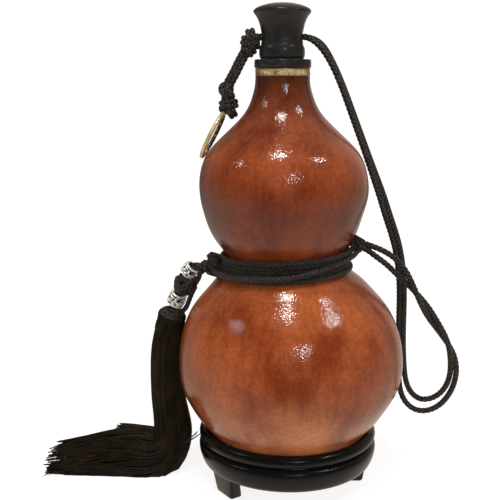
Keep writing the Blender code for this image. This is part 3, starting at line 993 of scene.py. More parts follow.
# %% Stopper
STOPPER_X = -5.4
STOPPER_BOTTOM = 218.4
STOPPER_NECK_R = 10.15
SPIGOT_R = 5.6
SPIGOT_BOTTOM = 203.4
CORD_HOLE_R = 3.0
CORD_HOLE_Z = 228.8
STOPPER_STATIONS = (
    (0.0, 244.9),
    (5.0, 244.6),
    (9.6, 243.6),
    (12.6, 242.4),
    (13.8, 241.4),
    (14.05, 240.7),
    (13.7, 239.9),
    (12.7, 238.6),
    (11.6, 236.6),
    (10.8, 234.2),
    (10.3, 231.6),
    (STOPPER_NECK_R, 228.8),
    (STOPPER_NECK_R + 0.1, 225.2),
)
top = smooth_curve(STOPPER_STATIONS, 0.5, 2)
stopper_profile = [(0.0, STOPPER_STATIONS[0][1])] + [tuple(p) for p in top[1:]]
stopper_profile += [(10.42, 224.7), (10.66, 224.2), (10.92, 223.6), (11.08, 222.9), (11.15, 222.0)]
stopper_profile += [(11.15, 220.4), (11.05, 219.6), (10.85, 219.0), (10.5, STOPPER_BOTTOM)]
stopper_profile += [(SPIGOT_R, STOPPER_BOTTOM), (SPIGOT_R - 0.4, SPIGOT_BOTTOM + 0.6)]
stopper_profile += [(SPIGOT_R - 1.0, SPIGOT_BOTTOM), (0.0, SPIGOT_BOTTOM)]
stopper = lathe("trumpet_stopper", stopper_profile, (STOPPER_X, 0.0), 112)
drilled(stopper, STOPPER_X, CORD_HOLE_Z, CORD_HOLE_R)
stopper.data.shade_smooth()
settle(dress(stopper, BLACK_WOOD, 38), "black_wood", "stopper")

# %% [markdown]
# ## The stand
#
# The stand is a ring with a half-round bead on its rim, a groove below the bead and a belly
# that curves in to the feet. Its seat follows the gourd. The three feet are tapered blocks
# with rounded edges, joined to the ring with a Boolean so that no wall passes through another.

# %% Stand
STAND_X = -1.4
BEAD_R = 42.9
BEAD_Z = 27.6
BEAD_MINOR = 3.25
STAND_BOTTOM = 11.5
STAND_INNER_R = 35.6
SEAT_HEIGHTS = (22.6, 24.2, 26.0, 27.8)
SEAT_CLEARANCE = 0.7
FOOT_ANGLES = (-56.0, 90.0, 197.0)
FOOT_TOP = (14.5, 36.4, 41.6, 20.0)
FOOT_BOTTOM = (0.0, 32.6, 39.8, 13.5)
FOOT_EDGE = 1.6
BELLY_STATIONS = (
    (43.5, 24.0),
    (45.0, 23.4),
    (46.0, 22.3),
    (46.3, 20.4),
    (45.9, 17.6),
    (44.9, 14.6),
    (43.2, 12.2),
    (41.4, STAND_BOTTOM),
)


def foot(angle):
    """One tapered foot: its top and bottom have a height, two radii and a width."""
    shape = bmesh.new()
    bmesh.ops.create_cube(shape, size=2.0)
    turn = Matrix.Rotation(math.radians(angle - 90), 4, "Z")
    for vertex in shape.verts:
        height, inner, outer, width = FOOT_TOP if vertex.co.z > 0 else FOOT_BOTTOM
        reach = outer if vertex.co.x > 0 else inner
        place = Vector((reach, width / 2 * math.copysign(1.0, vertex.co.y), height))
        vertex.co = (turn @ place + Vector((STAND_X, 0.0, 0.0))) * MM
    shape.normal_update()
    bmesh.ops.bevel(
        shape, geom=shape.edges[:], offset=FOOT_EDGE * MM, segments=5, profile=0.5, affect="EDGES"
    )
    return from_shape("foot", shape)


def stand_ring():
    belly = [tuple(p) for p in smooth_curve(BELLY_STATIONS, 0.6, 2)]
    profile = arc(BEAD_R, BEAD_Z, BEAD_MINOR, 84, -40, 22)
    profile += [(43.4, 24.7), (43.3, 24.35)] + belly
    profile += [(STAND_INNER_R + 0.8, STAND_BOTTOM), (STAND_INNER_R, STAND_BOTTOM + 0.8)]
    skin = smooth_curve(GOURD_STATIONS, 1.0, 2)
    profile += [(np.interp(z, skin[:, 1], skin[:, 0]) + SEAT_CLEARANCE, z) for z in SEAT_HEIGHTS]
    return lathe("turned_stand", profile, (STAND_X, 0.0), 144, closed=True)


stand = joined_with(stand_ring(), [foot(angle) for angle in FOOT_ANGLES])
stand.data.shade_smooth()
settle(dress(stand, BLACK_WOOD, 38), "black_wood", "display_stand")

# %% [markdown]
# ## The brass band
#
# A strip of thin brass covers the end of the neck, under the flange. It was hammered on by
# hand, so its face is uneven: we push its points in and out a little, and its finish has
# paler, rubbed places and dull brown ones. Painted shadow darkens it at its rims, and painted
# shade darkens it towards its sides.

# %% Band
BAND_R = 13.4
BAND_BOTTOM = 210.08
GAP = 0.3
SHADE_BEHIND_DEPTH = 0.012


def brass_look(name, pale, dull, roughness, size, metallic, painted_shade_behind=0.0, rims=None):
    """Worn brass with painted shade that darkens it to the back, or painted shadow and shade at the
    rims and sides of a band whose heights are given.
    """
    look, graph, shader = new_look(name, roughness, metallic)
    wear = speckle(graph, size, 4.0)
    spots = speckle(graph, size * 3.1, 2.0)
    # Painted shade: the brass darkens towards the back, by how far behind the middle it lies.
    worn = 0.6 * wear + 0.4 * spots - painted_shade_behind * (along_axis(graph, "Y") / SHADE_BEHIND_DEPTH)
    if rims:
        low, high = rims
        stops = [(0.0, (0.4,) * 3), (0.16, (0.0,) * 3), (0.84, (0.0,) * 3), (1.0, (0.4,) * 3)]
        # Painted shadow: a dark line at the band's top and bottom rims.
        painted_rim_shadow = ramp(graph, (along_axis(graph, "Z") / MM - low) / (high - low), stops)
        # Painted shade: the band darkens towards its left and right sides.
        side = (along_axis(graph, "X") / MM - NECK_X) / BAND_R
        worn = worn - painted_rim_shadow - 0.13 * side * side
    colour = ramp(graph, worn, [(0.36, dull), (0.50, pale), (0.72, pale)])
    feed(graph, shader, Base_Color=colour, Roughness=roughness + 0.5 * (0.5 - wear) + 0.1 * spots)
    feed(graph, shader, Normal=bump(graph, wear + 0.4 * spots, 0.35, 0.0004))
    return look


band_inner = BAND_SEAT_R + GAP
band_profile = [(band_inner, NECK_TOP), (BAND_R - 0.25, NECK_TOP), (BAND_R - 0.06, NECK_TOP - 0.08)]
band_profile += [(BAND_R, NECK_TOP - 0.3)]
band_profile += [(BAND_R, z) for z in np.linspace(NECK_TOP - 0.6, BAND_BOTTOM + 0.6, 6)]
band_profile += [(BAND_R, BAND_BOTTOM + 0.3), (BAND_R - 0.06, BAND_BOTTOM + 0.08)]
band_profile += [(BAND_R - 0.25, BAND_BOTTOM), (band_inner, BAND_BOTTOM)]
band = lathe("hammered_band", band_profile, (NECK_X, 0.0), 128, closed=True)
swell(band, lambda place, way: noise.noise(place * 420.0) * 0.14 * way.to_2d().length)
BAND_BRASS = brass_look(
    "band_brass",
    pale=(0.95, 0.80, 0.50),
    dull=(0.34, 0.21, 0.06),
    roughness=0.30,
    size=260.0,
    metallic=0.75,
    rims=(BAND_BOTTOM, NECK_TOP),
)
settle(dress(band, BAND_BRASS, 50), "band_brass", "neck_band")

# %% [markdown]
# ## The brass ring
#
# The ring at the cord's end is old cast brass, seen nearly edge on. Its wire is not quite
# even, the lacquer of dirt on it is worn through in places, and its far side is painted dark
# as shade.

# %% Ring
RING_MIDDLE = Vector((-39.4, 0.0, 181.6))
RING_R = 12.0
RING_WIRE_R = 1.0
RING_LEAN = math.radians(27.2)
RING_TURN = math.radians(5.0)
RING_STEPS = 144
RING_SIDES = 24


def cast_ring():
    down = Vector((-math.sin(RING_LEAN), 0.0, -math.cos(RING_LEAN)))
    normal = Vector((-math.cos(RING_LEAN), 0.0, math.sin(RING_LEAN)))
    normal.rotate(Matrix.Rotation(RING_TURN, 3, down))
    across = normal.cross(down)
    shape = bmesh.new()
    rings = []
    for a in angles_round(RING_STEPS):
        outwards = down * math.cos(a) + across * math.sin(a)
        ring = []
        for b in angles_round(RING_SIDES):
            way = outwards * math.cos(b) + normal * math.sin(b)
            uneven = noise.noise(Vector((4 * math.cos(a), 4 * math.sin(a), b)))
            reach = RING_WIRE_R * (1.0 + 0.05 * uneven)
            ring.append(shape.verts.new((RING_MIDDLE + outwards * RING_R + way * reach) * MM))
        rings.append(ring)
    skin(shape, rings, closed=True)
    bmesh.ops.recalc_face_normals(shape, faces=shape.faces)
    return from_shape("old_ring", shape)


OLD_BRASS = brass_look(
    "ring_brass",
    pale=(0.72, 0.56, 0.30),
    dull=(0.06, 0.04, 0.02),
    roughness=0.34,
    size=340.0,
    metallic=0.7,
    painted_shade_behind=0.22,
)
ring = settle(dress(cast_ring(), OLD_BRASS), "ring_brass", "brass_ring")

# %% [markdown]
# ## Cord in the waist
#
# Four and a half turns of the same cord lie side by side in the waist, and a fifth slants
# over them at the front, from the knot at the right to the one at the left. The groove is
# the gourd's own outline pushed out by half a cord, so the turns lie on the skin.

# %% Waist turns
WRAP_D = 2.4 * MM
WRAP_PITCH = 2.52
WRAP_TURNS = 4.5
WRAP_TILT = 0.045
WRAP_CLEARANCE = 0.6
WRAP_START = -82
WRAP_END_GAP = 0.045
CROSSING_ANGLES = (-84, -40, 0, 40, 78)
CROSSING_PLACES = (-4.2, -3.9, -2.4, 1.0, 4.6)


def around_waist(angles, along, layer):
    """Points round the waist: an angle from the front towards +X, and a place up the groove."""
    outline = smooth_curve(GOURD_STATIONS, 0.5, 2)
    near = (outline[:, 1] > 104.0) & (outline[:, 1] < 136.0)
    line = outline[near]
    line[:, :2] += layer * outward(outline)[near]
    arc_length = distances(line[:, :2])
    arc_length -= np.interp(WAIST_Z, line[:, 1], arc_length)
    along = along + WRAP_TILT * line[0, 0] * np.sin(angles)
    radius, height, lean = (np.interp(along, arc_length, column) for column in line.T)
    return np.stack([lean + radius * np.sin(angles), -radius * np.cos(angles), height], axis=1)


first = math.radians(WRAP_START)
whole = WRAP_TURNS - WRAP_END_GAP
angles = first + np.linspace(0.0, TAU * whole, int(90 * whole))
climb = WRAP_PITCH * (angles - first) / TAU - WRAP_PITCH * WRAP_TURNS / 2
wrap_line = around_waist(angles, climb, WRAP_D / MM / 2 + WRAP_CLEARANCE) * MM
wraps = braided("waist_turns", [wrap_line], Radius=WRAP_D / 2, Step=0.0005)
settle(wraps, "cord_braid", "waist_wraps")

angles = np.radians(np.linspace(CROSSING_ANGLES[-1], CROSSING_ANGLES[0], 70))
along = np.interp(np.degrees(angles), CROSSING_ANGLES, CROSSING_PLACES)
along = np.convolve(np.pad(along, 6, mode="edge"), np.ones(13) / 13, mode="valid")
crossing_line = around_waist(angles, along, WRAP_D / MM * 1.5 + WRAP_CLEARANCE + GAP) * MM
crossing = braided("waist_slanting_turn", [crossing_line], Radius=WRAP_D / 2, Step=0.0003)
settle(crossing, "cord_braid", "waist_crossing")

# %% [markdown]
# ## Knots
#
# A tight knot shows only its outside turns: a few lobes of doubled cord, each turned another
# way. So each lobe here is a doubled loop with its own middle and axis, and the loops press
# into one another as pulled cord does. A dark core fills the inside, where the real knot is
# packed with cord.


# %% Knot loops
LOOP_POINTS = 40


def cord_loops(middle, axis, radius, cord_d, twins):
    """Loops of cord side by side, round an axis, in metres."""
    middle, axis = np.array(middle, float), unit(np.array(axis, float))
    side = unit(np.cross(axis, (0.0, 1.0, 0.0) if abs(axis[1]) < 0.8 else (1.0, 0.0, 0.0)))
    front = np.cross(axis, side)
    lines = []
    for shift in (np.arange(twins) - (twins - 1) / 2) * cord_d * 0.9:
        turns = angles_round(LOOP_POINTS)[:, None]
        bulge = radius * (1.0 + 0.06 * np.sin(2 * turns + middle[2]))
        ring = middle + axis * shift + bulge * (np.cos(turns) * side + np.sin(turns) * front)
        lines.append(ring * MM)
    return lines


def stood_at(middle, axis, wide, high):
    """The matrix that sizes a shape in millimetres, stands it along an axis and moves it."""
    turn = Vector((0, 0, 1)).rotation_difference(Vector(axis)).to_matrix().to_4x4()
    size = Matrix.Diagonal((wide * MM, wide * MM, high * MM, 1.0))
    return Matrix.Translation(Vector(middle) * MM) @ turn @ size


def ellipsoid(middle, axis, radius, half):
    """A closed core for a knot, as a mesh shape."""
    shape = bmesh.new()
    bmesh.ops.create_uvsphere(shape, u_segments=20, v_segments=12, radius=1.0)
    shape.transform(stood_at(middle, axis, radius, half))
    return shape


def with_core(piece, shape):
    """The piece's mesh joined with a core shape."""
    shape.from_mesh(piece.data)
    for face in shape.faces:
        face.smooth = True
        face.material_index = 0
    shape.to_mesh(piece.data)
    shape.free()
    return piece


def tied(name, core, bands, cord_d, node):
    """A tight knot: rows of a middle, an axis, a radius and a count of cords, and a core."""
    lines = []
    for middle, axis, radius, twins in bands:
        lines += cord_loops(middle, axis, radius, cord_d, twins)
    piece = braided(name, lines, closed=True, Radius=cord_d * MM / 2)
    with_core(piece, ellipsoid(*core))
    return settle(piece, "cord_braid", node)


print("loops ready")

# %% Knots
stopper_knot = tied(
    "knot_at_stopper",
    ((-21.2, 0.0, 226.2), unit(np.array((0.5, 0.0, 1.0))), 3.2, 5.2),
    [
        ((-20.3, -0.2, 228.7), (1.0, 0.0, 0.25), 2.9, 2),
        ((-21.7, -0.6, 226.4), (0.25, 0.1, 1.0), 2.7, 2),
        ((-21.6, -0.4, 222.9), (0.75, 0.1, 0.7), 2.6, 2),
        ((-18.9, 0.0, 225.8), (1.0, 0.0, -0.2), 2.4, 1),
        ((-17.5, 0.0, 226.6), (1.0, 0.0, 0.1), 2.5, 1),
    ],
    2.5,
    "stopper_knot",
)
upper_knot = tied(
    "knot_above_ring",
    ((-32.4, 0.0, 203.4), unit(np.array((0.4, 0.0, 1.0))), 2.6, 3.8),
    [
        ((-32.7, -0.9, 203.9), (0.25, -0.9, 0.35), 2.7, 1),
        ((-32.0, -0.4, 202.0), (0.85, -0.1, 0.55), 2.7, 2),
    ],
    2.5,
    "ring_knot_upper",
)
ring_knot = tied(
    "knot_on_ring",
    ((-31.4, 0.0, 194.9), unit(np.array((-0.3, 0.0, 1.0))), 3.1, 3.9),
    [
        ((-31.5, 0.0, 196.5), (-0.12, 0.1, 1.0), 3.5, 2),
        ((-30.2, -0.6, 192.9), (0.85, 0.1, 0.5), 2.4, 2),
        ((-33.6, -0.8, 194.6), (0.3, -0.8, -0.4), 1.7, 1),
    ],
    2.3,
    "ring_knot_lower",
)
tied(
    "knot_at_waist_right",
    ((33.6, -3.6, 127.0), (0.0, 0.0, 1.0), 2.6, 4.0),
    [
        ((33.3, -3.7, 128.9), (0.5, 0.1, 0.87), 2.4, 2),
        ((33.9, -3.7, 125.4), (-0.6, 0.1, 0.8), 2.4, 2),
        ((33.6, -4.1, 127.0), (1.0, 0.0, 0.1), 2.9, 1),
        ((30.9, -3.6, 126.0), (1.0, 0.0, 0.5), 2.7, 1),
    ],
    2.2,
    "waist_knot_right",
)
tied(
    "knot_at_waist_left",
    ((-38.6, 0.9, 116.2), (0.0, 0.0, 1.0), 3.1, 5.6),
    [
        ((-38.5, 0.5, 119.3), (0.35, 0.1, 1.0), 2.8, 2),
        ((-38.5, 0.5, 115.0), (-0.35, 0.1, 1.0), 2.9, 2),
        ((-37.7, 0.2, 117.0), (1.0, 0.0, 0.3), 3.9, 1),
        ((-39.9, 0.3, 111.0), (0.3, 0.2, 1.0), 2.6, 1),
        ((-40.9, 0.6, 118.4), (0.9, 0.1, 0.5), 2.2, 1),
        ((-42.6, 0.8, 115.0), (1.0, 0.1, 0.2), 2.2, 2),
        ((-45.3, 1.7, 113.9), (0.9, 0.0, 0.45), 1.9, 2),
    ],
    2.3,
    "waist_knot_left",
)

# %% [markdown]
# ## The button knot
#
# Between the beads sits a button knot, a ball that is one cord woven over and under itself.
# Its line has a simple rule: it goes round the ball three times while it swings between the
# poles four times, so it meets itself evenly and can pass over and under by turns. Doubling
# the line gives the flat look of the real knot.

# %% Button knot
BUTTON_DOWN = 20.3
BUTTON_R = 5.9
BUTTON_HALF = 4.9
BUTTON_CORD_D = 2.0
BUTTON_YARN_R = 0.00105
LEADS = 3
BIGHTS = 4
SWING = 0.95


def on_line(line, distance):
    """The point a distance down a line, and the way back up it, in millimetres."""
    places = distances(line)
    near, middle, far = (
        np.array([np.interp(distance + shift, places, column) for column in line.T])
        for shift in (-2.0, 0.0, 2.0)
    )
    return middle, unit(near - far)


def button_lines(middle, axis, radius, half, cord_d):
    """Two loops side by side that weave round a ball."""
    side = unit(np.cross(axis, (0.0, 1.0, 0.0)))
    front = np.cross(axis, side)
    radius, half = radius - cord_d * 0.62, half - cord_d * 0.5
    lines = []
    for twin in (-0.5, 0.5):
        t = angles_round(260)
        longitude = LEADS * t
        latitude = SWING * np.sin(BIGHTS * t)
        lift = 0.55 * np.sin(2 * BIGHTS * t + 0.6)
        slide = twin * cord_d * 0.9 / radius
        reach = radius * np.cos(latitude) ** 0.55 + lift
        flat = np.cos(longitude)[:, None] * side + np.sin(longitude)[:, None] * front
        high = half * np.sin(latitude) / math.sin(SWING) + slide * radius * np.cos(latitude)
        lines.append((middle + reach[:, None] * flat + high[:, None] * axis) * MM)
    return lines


button_middle, button_axis = on_line(tassel_line / MM, BUTTON_DOWN)
woven = button_lines(button_middle, button_axis, BUTTON_R, BUTTON_HALF, BUTTON_CORD_D)
button = braided("woven_button", woven, closed=True, Radius=BUTTON_YARN_R)
with_core(button, ellipsoid(button_middle, button_axis, BUTTON_R - 1.3, BUTTON_HALF - 0.8))
settle(button, "cord_braid", "button_knot")

# %% [markdown]
# ## Silver beads
#
# The two beads are cast silver barrels with a raised rim at each end and scrolls between the
# rims, blackened in the hollows. The scrolls are real relief: a fine grid on the barrel is
# pushed in where a folded sine pattern says there is a hollow. The same number is stored on
# the mesh, so the finish can darken what lies deep.

# %% Bead shape
BEAD_BORE_R = 2.3
BEAD_RINGS = 61
BEAD_SIDES = 176
RELIEF = 0.55


def scroll(angle, height):
    """How high the scrolls stand, from 0 to 1, at an angle and a height up the barrel."""
    swirl = 1.7 * math.sin(4 * angle + 1.1 * math.sin(3.2 * height + 2 * angle))
    bend = math.cos(3.4 * height + 1.3 * math.sin(5 * angle))
    wave = math.sin(6 * angle + swirl + 2.3 * height) * bend
    return min(1.0, max(0.0, 0.5 + 2.4 * wave))


def barrel(radius, half, angle, height):
    """The barrel's radius there, and how worn it is: a rim, a groove, then the scrolls."""
    edge = half - abs(height)
    if edge < 0.75:
        return radius - 0.45 - 0.35 * abs(edge - 0.37) / 0.37, 1.0
    if edge < 1.05:
        return radius - 1.0, 0.0
    crown = 1.0 - (abs(height) / half) ** 2
    worn = scroll(angle, height)
    return radius - 0.75 + 0.55 * crown - RELIEF * (1.0 - worn), worn


def silver_bead(name, distance, radius, half, node):
    """A bead at a distance down the tassel's cord, with its radius and half its length."""
    middle, axis = on_line(tassel_line / MM, distance)
    shape = bmesh.new()
    layer = shape.verts.layers.float.new("worn")
    rows = [(z, False) for z in np.linspace(half, -half, BEAD_RINGS)]
    rings = []
    for z, in_bore in rows + [(-half, True), (half, True)]:
        ring = []
        for a in angles_round(BEAD_SIDES):
            reach, worn = (BEAD_BORE_R, 0.3) if in_bore else barrel(radius, half, a, z)
            vertex = shape.verts.new((reach * math.cos(a), reach * math.sin(a), z))
            vertex[layer] = worn
            ring.append(vertex)
        rings.append(ring)
    skin(shape, rings, closed=True)
    bmesh.ops.recalc_face_normals(shape, faces=shape.faces)
    shape.transform(stood_at(middle, axis, 1.0, 1.0))
    return settle(dress(from_shape(name, shape), SILVER), "bead_silver", node)


print("bead shape ready")


# %% Beads
def silver_look():
    look, graph, shader = new_look("bead_silver", 0.28, 0.6)
    worn = graph.node("ShaderNodeAttribute", {"attribute_name": "worn"}, out="Fac")
    tarnish = speckle(graph, 700.0, 3.0)
    colour = ramp(
        graph,
        worn - 0.25 * tarnish,
        [(0.18, (0.012, 0.011, 0.010)), (0.42, (0.40, 0.39, 0.37)), (0.60, (0.95, 0.94, 0.92))],
    )
    feed(graph, shader, Base_Color=colour, Roughness=0.52 - 0.26 * worn + 0.12 * tarnish)
    feed(graph, shader, Normal=bump(graph, tarnish, 0.25, 0.0001))
    return look


SILVER = silver_look()
upper_bead = silver_bead("engraved_bead_upper", 12.0, 4.6, 2.9, "silver_bead_upper")
lower_bead = silver_bead("engraved_bead_lower", 30.5, 5.0, 3.4, "silver_bead_lower")

# %% [markdown]
# ## The tassel
#
# A tassel is a bundle of fine threads doubled over a cord, bound at the neck, and left to
# hang. This one is longer than its cord is high, so its skirt folds on the table and spreads.
# One tree makes head and skirt. It takes the bundle's middle line, whose points carry the
# bundle's two half widths and directions, copies the line once for each thread, gives each
# copy its own place in the bundle, trims its end and lets it stray a little.

# %% Thread tree
THREAD_SIZES = {
    "Threads": 500,
    "Step": 0.003,
    "Thickness": 0.00022,
    "Depth": 0.5,
    "Stray": 0.0004,
    "Ragged": 0.06,
    "Uneven": 0.0,
    "Floor": 0.0003,
    "Seed": 1,
}


def thread_tree():
    tree, graph, given = new_tree("tassel_threads", THREAD_SIZES)
    kept_line, number = copied_line(graph, given, given["Threads"])[1:]

    def chance(salt, high=1.0):
        return graph.node(
            "FunctionNodeRandomValue",
            {"data_type": "FLOAT"},
            {"Min": 0.0, "Max": high, "ID": number, "Seed": given["Seed"] + salt},
            1,
        )

    facts = {"turn": chance(0, TAU), "deep": chance(7), "cut": chance(13), "salt": chance(29)}
    for name, value in facts.items():
        kept_line = kept(graph, kept_line, name, value)

    along = graph.node("GeometryNodeSplineParameter", out="Factor")
    here_now = graph.node("GeometryNodeInputPosition")
    turn, deep, salt = (read(graph, name) for name in ("turn", "deep", "salt"))
    reach = 1 - given["Depth"] * deep * deep
    wander = graph.node(
        "ShaderNodeTexNoise",
        {"noise_dimensions": "4D"},
        {"Vector": graph.scaled(here_now, 60.0), "W": salt * 900, "Scale": 1.0, "Detail": 1.0},
        "Color",
    )
    stray = graph.scaled(
        graph.vector_maths("SUBTRACT", wander, (0.5, 0.5, 0.5)), given["Stray"] * (0.3 + along) * 2
    )
    angle = turn + 0.5 * graph.sine(salt * 40 + along * 3) * along
    thick = reach * read(graph, "thick") * graph.cosine(angle)
    wide = reach * read(graph, "wide") * graph.sine(angle)
    out = graph.scaled(read(graph, "over", "FLOAT_VECTOR"), thick)
    back = graph.scaled(read(graph, "behind", "FLOAT_VECTOR"), wide)
    shift = graph.vector_maths("ADD", graph.vector_maths("ADD", out, back), stray)
    place = graph.vector_maths("ADD", here_now, shift)
    parts = graph.node("ShaderNodeSeparateXYZ", None, {"Vector": place}).socket.node
    x, y, z = (Value(graph, parts.outputs[axis]) for axis in "XYZ")
    rise = graph.maths("MAXIMUM", z, given["Floor"])
    clear = graph.node("ShaderNodeCombineXYZ", None, {"X": x, "Y": y, "Z": rise})
    moved = graph.node("GeometryNodeSetPosition", None, {"Geometry": kept_line, "Position": clear})
    short = 0.5 + 0.5 * graph.cosine(turn - 0.9)
    end = 1 - given["Ragged"] * read(graph, "cut") - given["Uneven"] * short * short
    cut = graph.node(
        "GeometryNodeTrimCurve", {"mode": "FACTOR"}, {"Curve": moved, "Start": 0.0, "End": end}
    )
    threads = swept(graph, cut, circle(graph, 3, given["Thickness"]))
    close_tree(graph, threads, given["Material"])
    return tree


THREADS = thread_tree()
print("thread tree nodes:", len(THREADS.nodes))

# %% [markdown]
# The threads are black-brown and silky. The skirt's core is a closed form just under them,
# so no light passes through the bundle. Both follow rings like those of the frame's solid: a
# middle point, half the thickness across the bend and half the width front to back. A
# shorter layer lies on the fan, a few threads stand off at the fold and the tip, and two
# turns of cord bind the top of the head.

# %% Thread bundles
CORE_SIDES = 40


def thread_look():
    look, graph, shader = new_look("tassel_thread", 0.45)
    silk = speckle(graph, 1400.0, 2.0)
    patches = speckle(graph, 130.0, 3.0)
    stops = [(0.36, (0.003, 0.002, 0.001)), (0.70, (0.018, 0.011, 0.005))]
    colour = ramp(graph, 0.45 * silk + 0.55 * patches, stops)
    feed(graph, shader, Base_Color=colour, Roughness=0.36 + 0.25 * silk)
    shader.inputs["Specular IOR Level"].default_value = 0.3
    return look


def bundle(stations, step):
    """A bundle's middle line with the two directions and half widths at each point."""
    line = smooth_curve(stations, step)
    middle = line[:, :3]
    along = unit(np.gradient(middle, axis=0))
    behind = unit(np.array((0.0, 1.0, 0.0)) - along * along[:, 1:2])
    return middle, np.cross(behind, along), behind, line[:, 3], line[:, 4]


def bundle_core(stations, scale):
    """A closed skin round a bundle, a little inside its threads."""
    shape = bmesh.new()
    rings = []
    for middle, over, behind, thick, wide in zip(*bundle(stations, 2.0)):
        ring = []
        for a in angles_round(CORE_SIDES):
            ripple = scale - 0.03 * (1.0 + math.cos(9 * a))
            point = middle + ripple * (thick * math.cos(a) * over + wide * math.sin(a) * behind)
            ring.append(shape.verts.new((point[0] * MM, point[1] * MM, max(point[2], GAP) * MM)))
        rings.append(ring)
    skin(shape, rings)
    shape.faces.new(rings[0])
    shape.faces.new(rings[-1])
    bmesh.ops.recalc_face_normals(shape, faces=shape.faces)
    return shape


def threads_along(name, stations, core=None, node="tassel_skirt", **sizes):
    """Threads along a bundle, round a core where one is given."""
    middle, over, behind, thick, wide = bundle(stations, 1.5)
    facts = {"over": over, "behind": behind, "thick": thick * MM, "wide": wide * MM}
    line = line_object(name, [middle * MM], facts=facts)
    made = grown(name, line, THREADS, THREAD_LOOK, **sizes)
    if core is not None:
        with_core(made, core)
    return settle(made, "tassel_thread", node)


THREAD_LOOK = thread_look()
print("bundles ready")

# %% Skirt
SKIRT_RINGS = (
    (-64.2, 11.9, 77.0, 7.3, 7.4),
    (-65.6, 12.7, 68.0, 7.7, 7.9),
    (-66.0, 13.2, 57.0, 8.1, 8.3),
    (-65.4, 13.4, 44.0, 8.7, 9.0),
    (-63.9, 13.4, 31.0, 9.4, 10.0),
    (-62.8, 13.0, 20.5, 10.0, 12.0),
    (-64.8, 12.6, 11.5, 10.5, 15.0),
    (-72.6, 13.0, 6.0, 14.0, 16.5),
    (-86.0, 15.0, 5.0, 14.6, 17.5),
    (-99.0, 16.8, 4.2, 13.0, 18.2),
    (-113.0, 17.9, 3.2, 9.6, 18.6),
    (-124.0, 18.6, 2.6, 6.8, 18.2),
    (-132.0, 19.0, 2.0, 5.2, 17.0),
)
LAYER_RINGS = (
    (-64.6, 14.0, 21.0, 4.0, 8.0),
    (-67.0, 16.0, 15.4, 4.2, 10.0),
    (-73.5, 19.0, 14.2, 3.8, 10.5),
    (-83.0, 21.5, 15.0, 3.3, 10.0),
    (-97.0, 22.5, 16.0, 2.9, 9.0),
)
LOOSE_RINGS = (
    (-63.0, 6.0, 13.0, 0.6, 0.6),
    (-54.0, 2.5, 18.5, 1.3, 1.3),
    (-45.5, 1.0, 25.5, 2.4, 2.4),
)
STRAY_RINGS = (
    (-121.0, 6.0, 2.5, 1.0, 1.5),
    (-128.0, 1.0, 1.2, 0.6, 1.6),
    (-134.0, -5.0, 0.7, 0.3, 2.2),
)
threads_along(
    "tassel_skirt_threads", SKIRT_RINGS, Threads=620, Thickness=0.0003, Ragged=0.12, Uneven=0.28
)
threads_along(
    "tassel_skirt_under",
    SKIRT_RINGS,
    bundle_core(SKIRT_RINGS[:-2], 0.80),
    Threads=200,
    Seed=5,
    Thickness=0.0004,
    Step=0.004,
)
threads_along(
    "tassel_short_threads",
    LAYER_RINGS,
    Threads=200,
    Seed=9,
    Thickness=0.0003,
    Depth=0.9,
    Ragged=0.2,
)
threads_along(
    "tassel_loose_threads", LOOSE_RINGS, Threads=5, Thickness=0.00028, Depth=0.9, Ragged=0.2
)
threads_along(
    "tassel_stray_tips", STRAY_RINGS, Threads=4, Thickness=0.00016, Depth=0.9, Ragged=0.4
)

# %% Head
HEAD_RINGS = (
    (-61.6, 10.0, 88.9, 4.4, 4.4),
    (-61.8, 10.1, 88.1, 6.3, 6.3),
    (-62.4, 10.5, 85.4, 7.2, 7.2),
    (-63.2, 11.1, 81.6, 7.4, 7.4),
    (-64.2, 11.7, 77.4, 7.4, 7.4),
)
HEAD_CORD_D = 2.2
head = threads_along(
    "tassel_bound_head",
    HEAD_RINGS,
    bundle_core(HEAD_RINGS, 0.93),
    "tassel_head",
    Threads=260,
    Thickness=0.00035,
    Ragged=0.0,
    Depth=0.1,
    Stray=0.0001,
    Step=0.0012,
)
head_top = np.array(HEAD_RINGS[0][:3])
head_axis = unit(head_top - HEAD_RINGS[2][:3])
tilted = head_axis + (0.12, 0.0, 0.0)
loops = cord_loops(head_top - 0.6 * head_axis, head_axis, 5.0, HEAD_CORD_D, 1)
loops += cord_loops(head_top - 1.9 * head_axis, tilted, 6.0, HEAD_CORD_D, 1)
collar_knot = braided("tassel_head_collar", loops, closed=True, Radius=0.0011)
settle(collar_knot, "cord_braid", "tassel_cord")

# %% [markdown]
# ## What is free to move
#
# The carrying cord's strands and the tassel's cord hang free.


print("free cords: 3")

# %% [markdown]
# ## Floor and tent
#
# The object stands on pale paper inside a white tent. Two things are kept apart here. What
# the camera sees behind the object is a plain white dome and floor. What the varnish mirrors
# is the world: a grey floor, pale sides and a dark front, because a room mirrored as white
# from every side would wash all the black and brown pieces out.

# %% Floor
FLOOR_REACH = 3.0


def paper_look(name, glow, tone):
    """Pale paper that glows a little, so that shadows on it stay light."""
    look, graph, shader = new_look(name, 0.9)
    tooth = speckle(graph, 300.0, 2.0)
    paper = ramp(graph, tooth, [(0.0, (tone,) * 3), (1.0, (tone + 0.03,) * 3)])
    away = graph.vector_maths("LENGTH", here(graph), out=1) / FLOOR_REACH
    light = ramp(graph, away, [(0.06, (glow,) * 3), (0.22, (1.0, 1.0, 1.0))])
    feed(graph, shader, Base_Color=paper, Emission_Color=light)
    shader.inputs["Specular IOR Level"].default_value = 0.1
    shader.inputs["Emission Strength"].default_value = 1.0
    look.cycles.emission_sampling = "NONE"
    return look


def stage_piece(name, shape, look):
    """A piece of the studio that only the camera sees."""
    made = dress(from_shape(name, shape), look)
    made.visible_glossy = False
    made.visible_diffuse = False
    return made


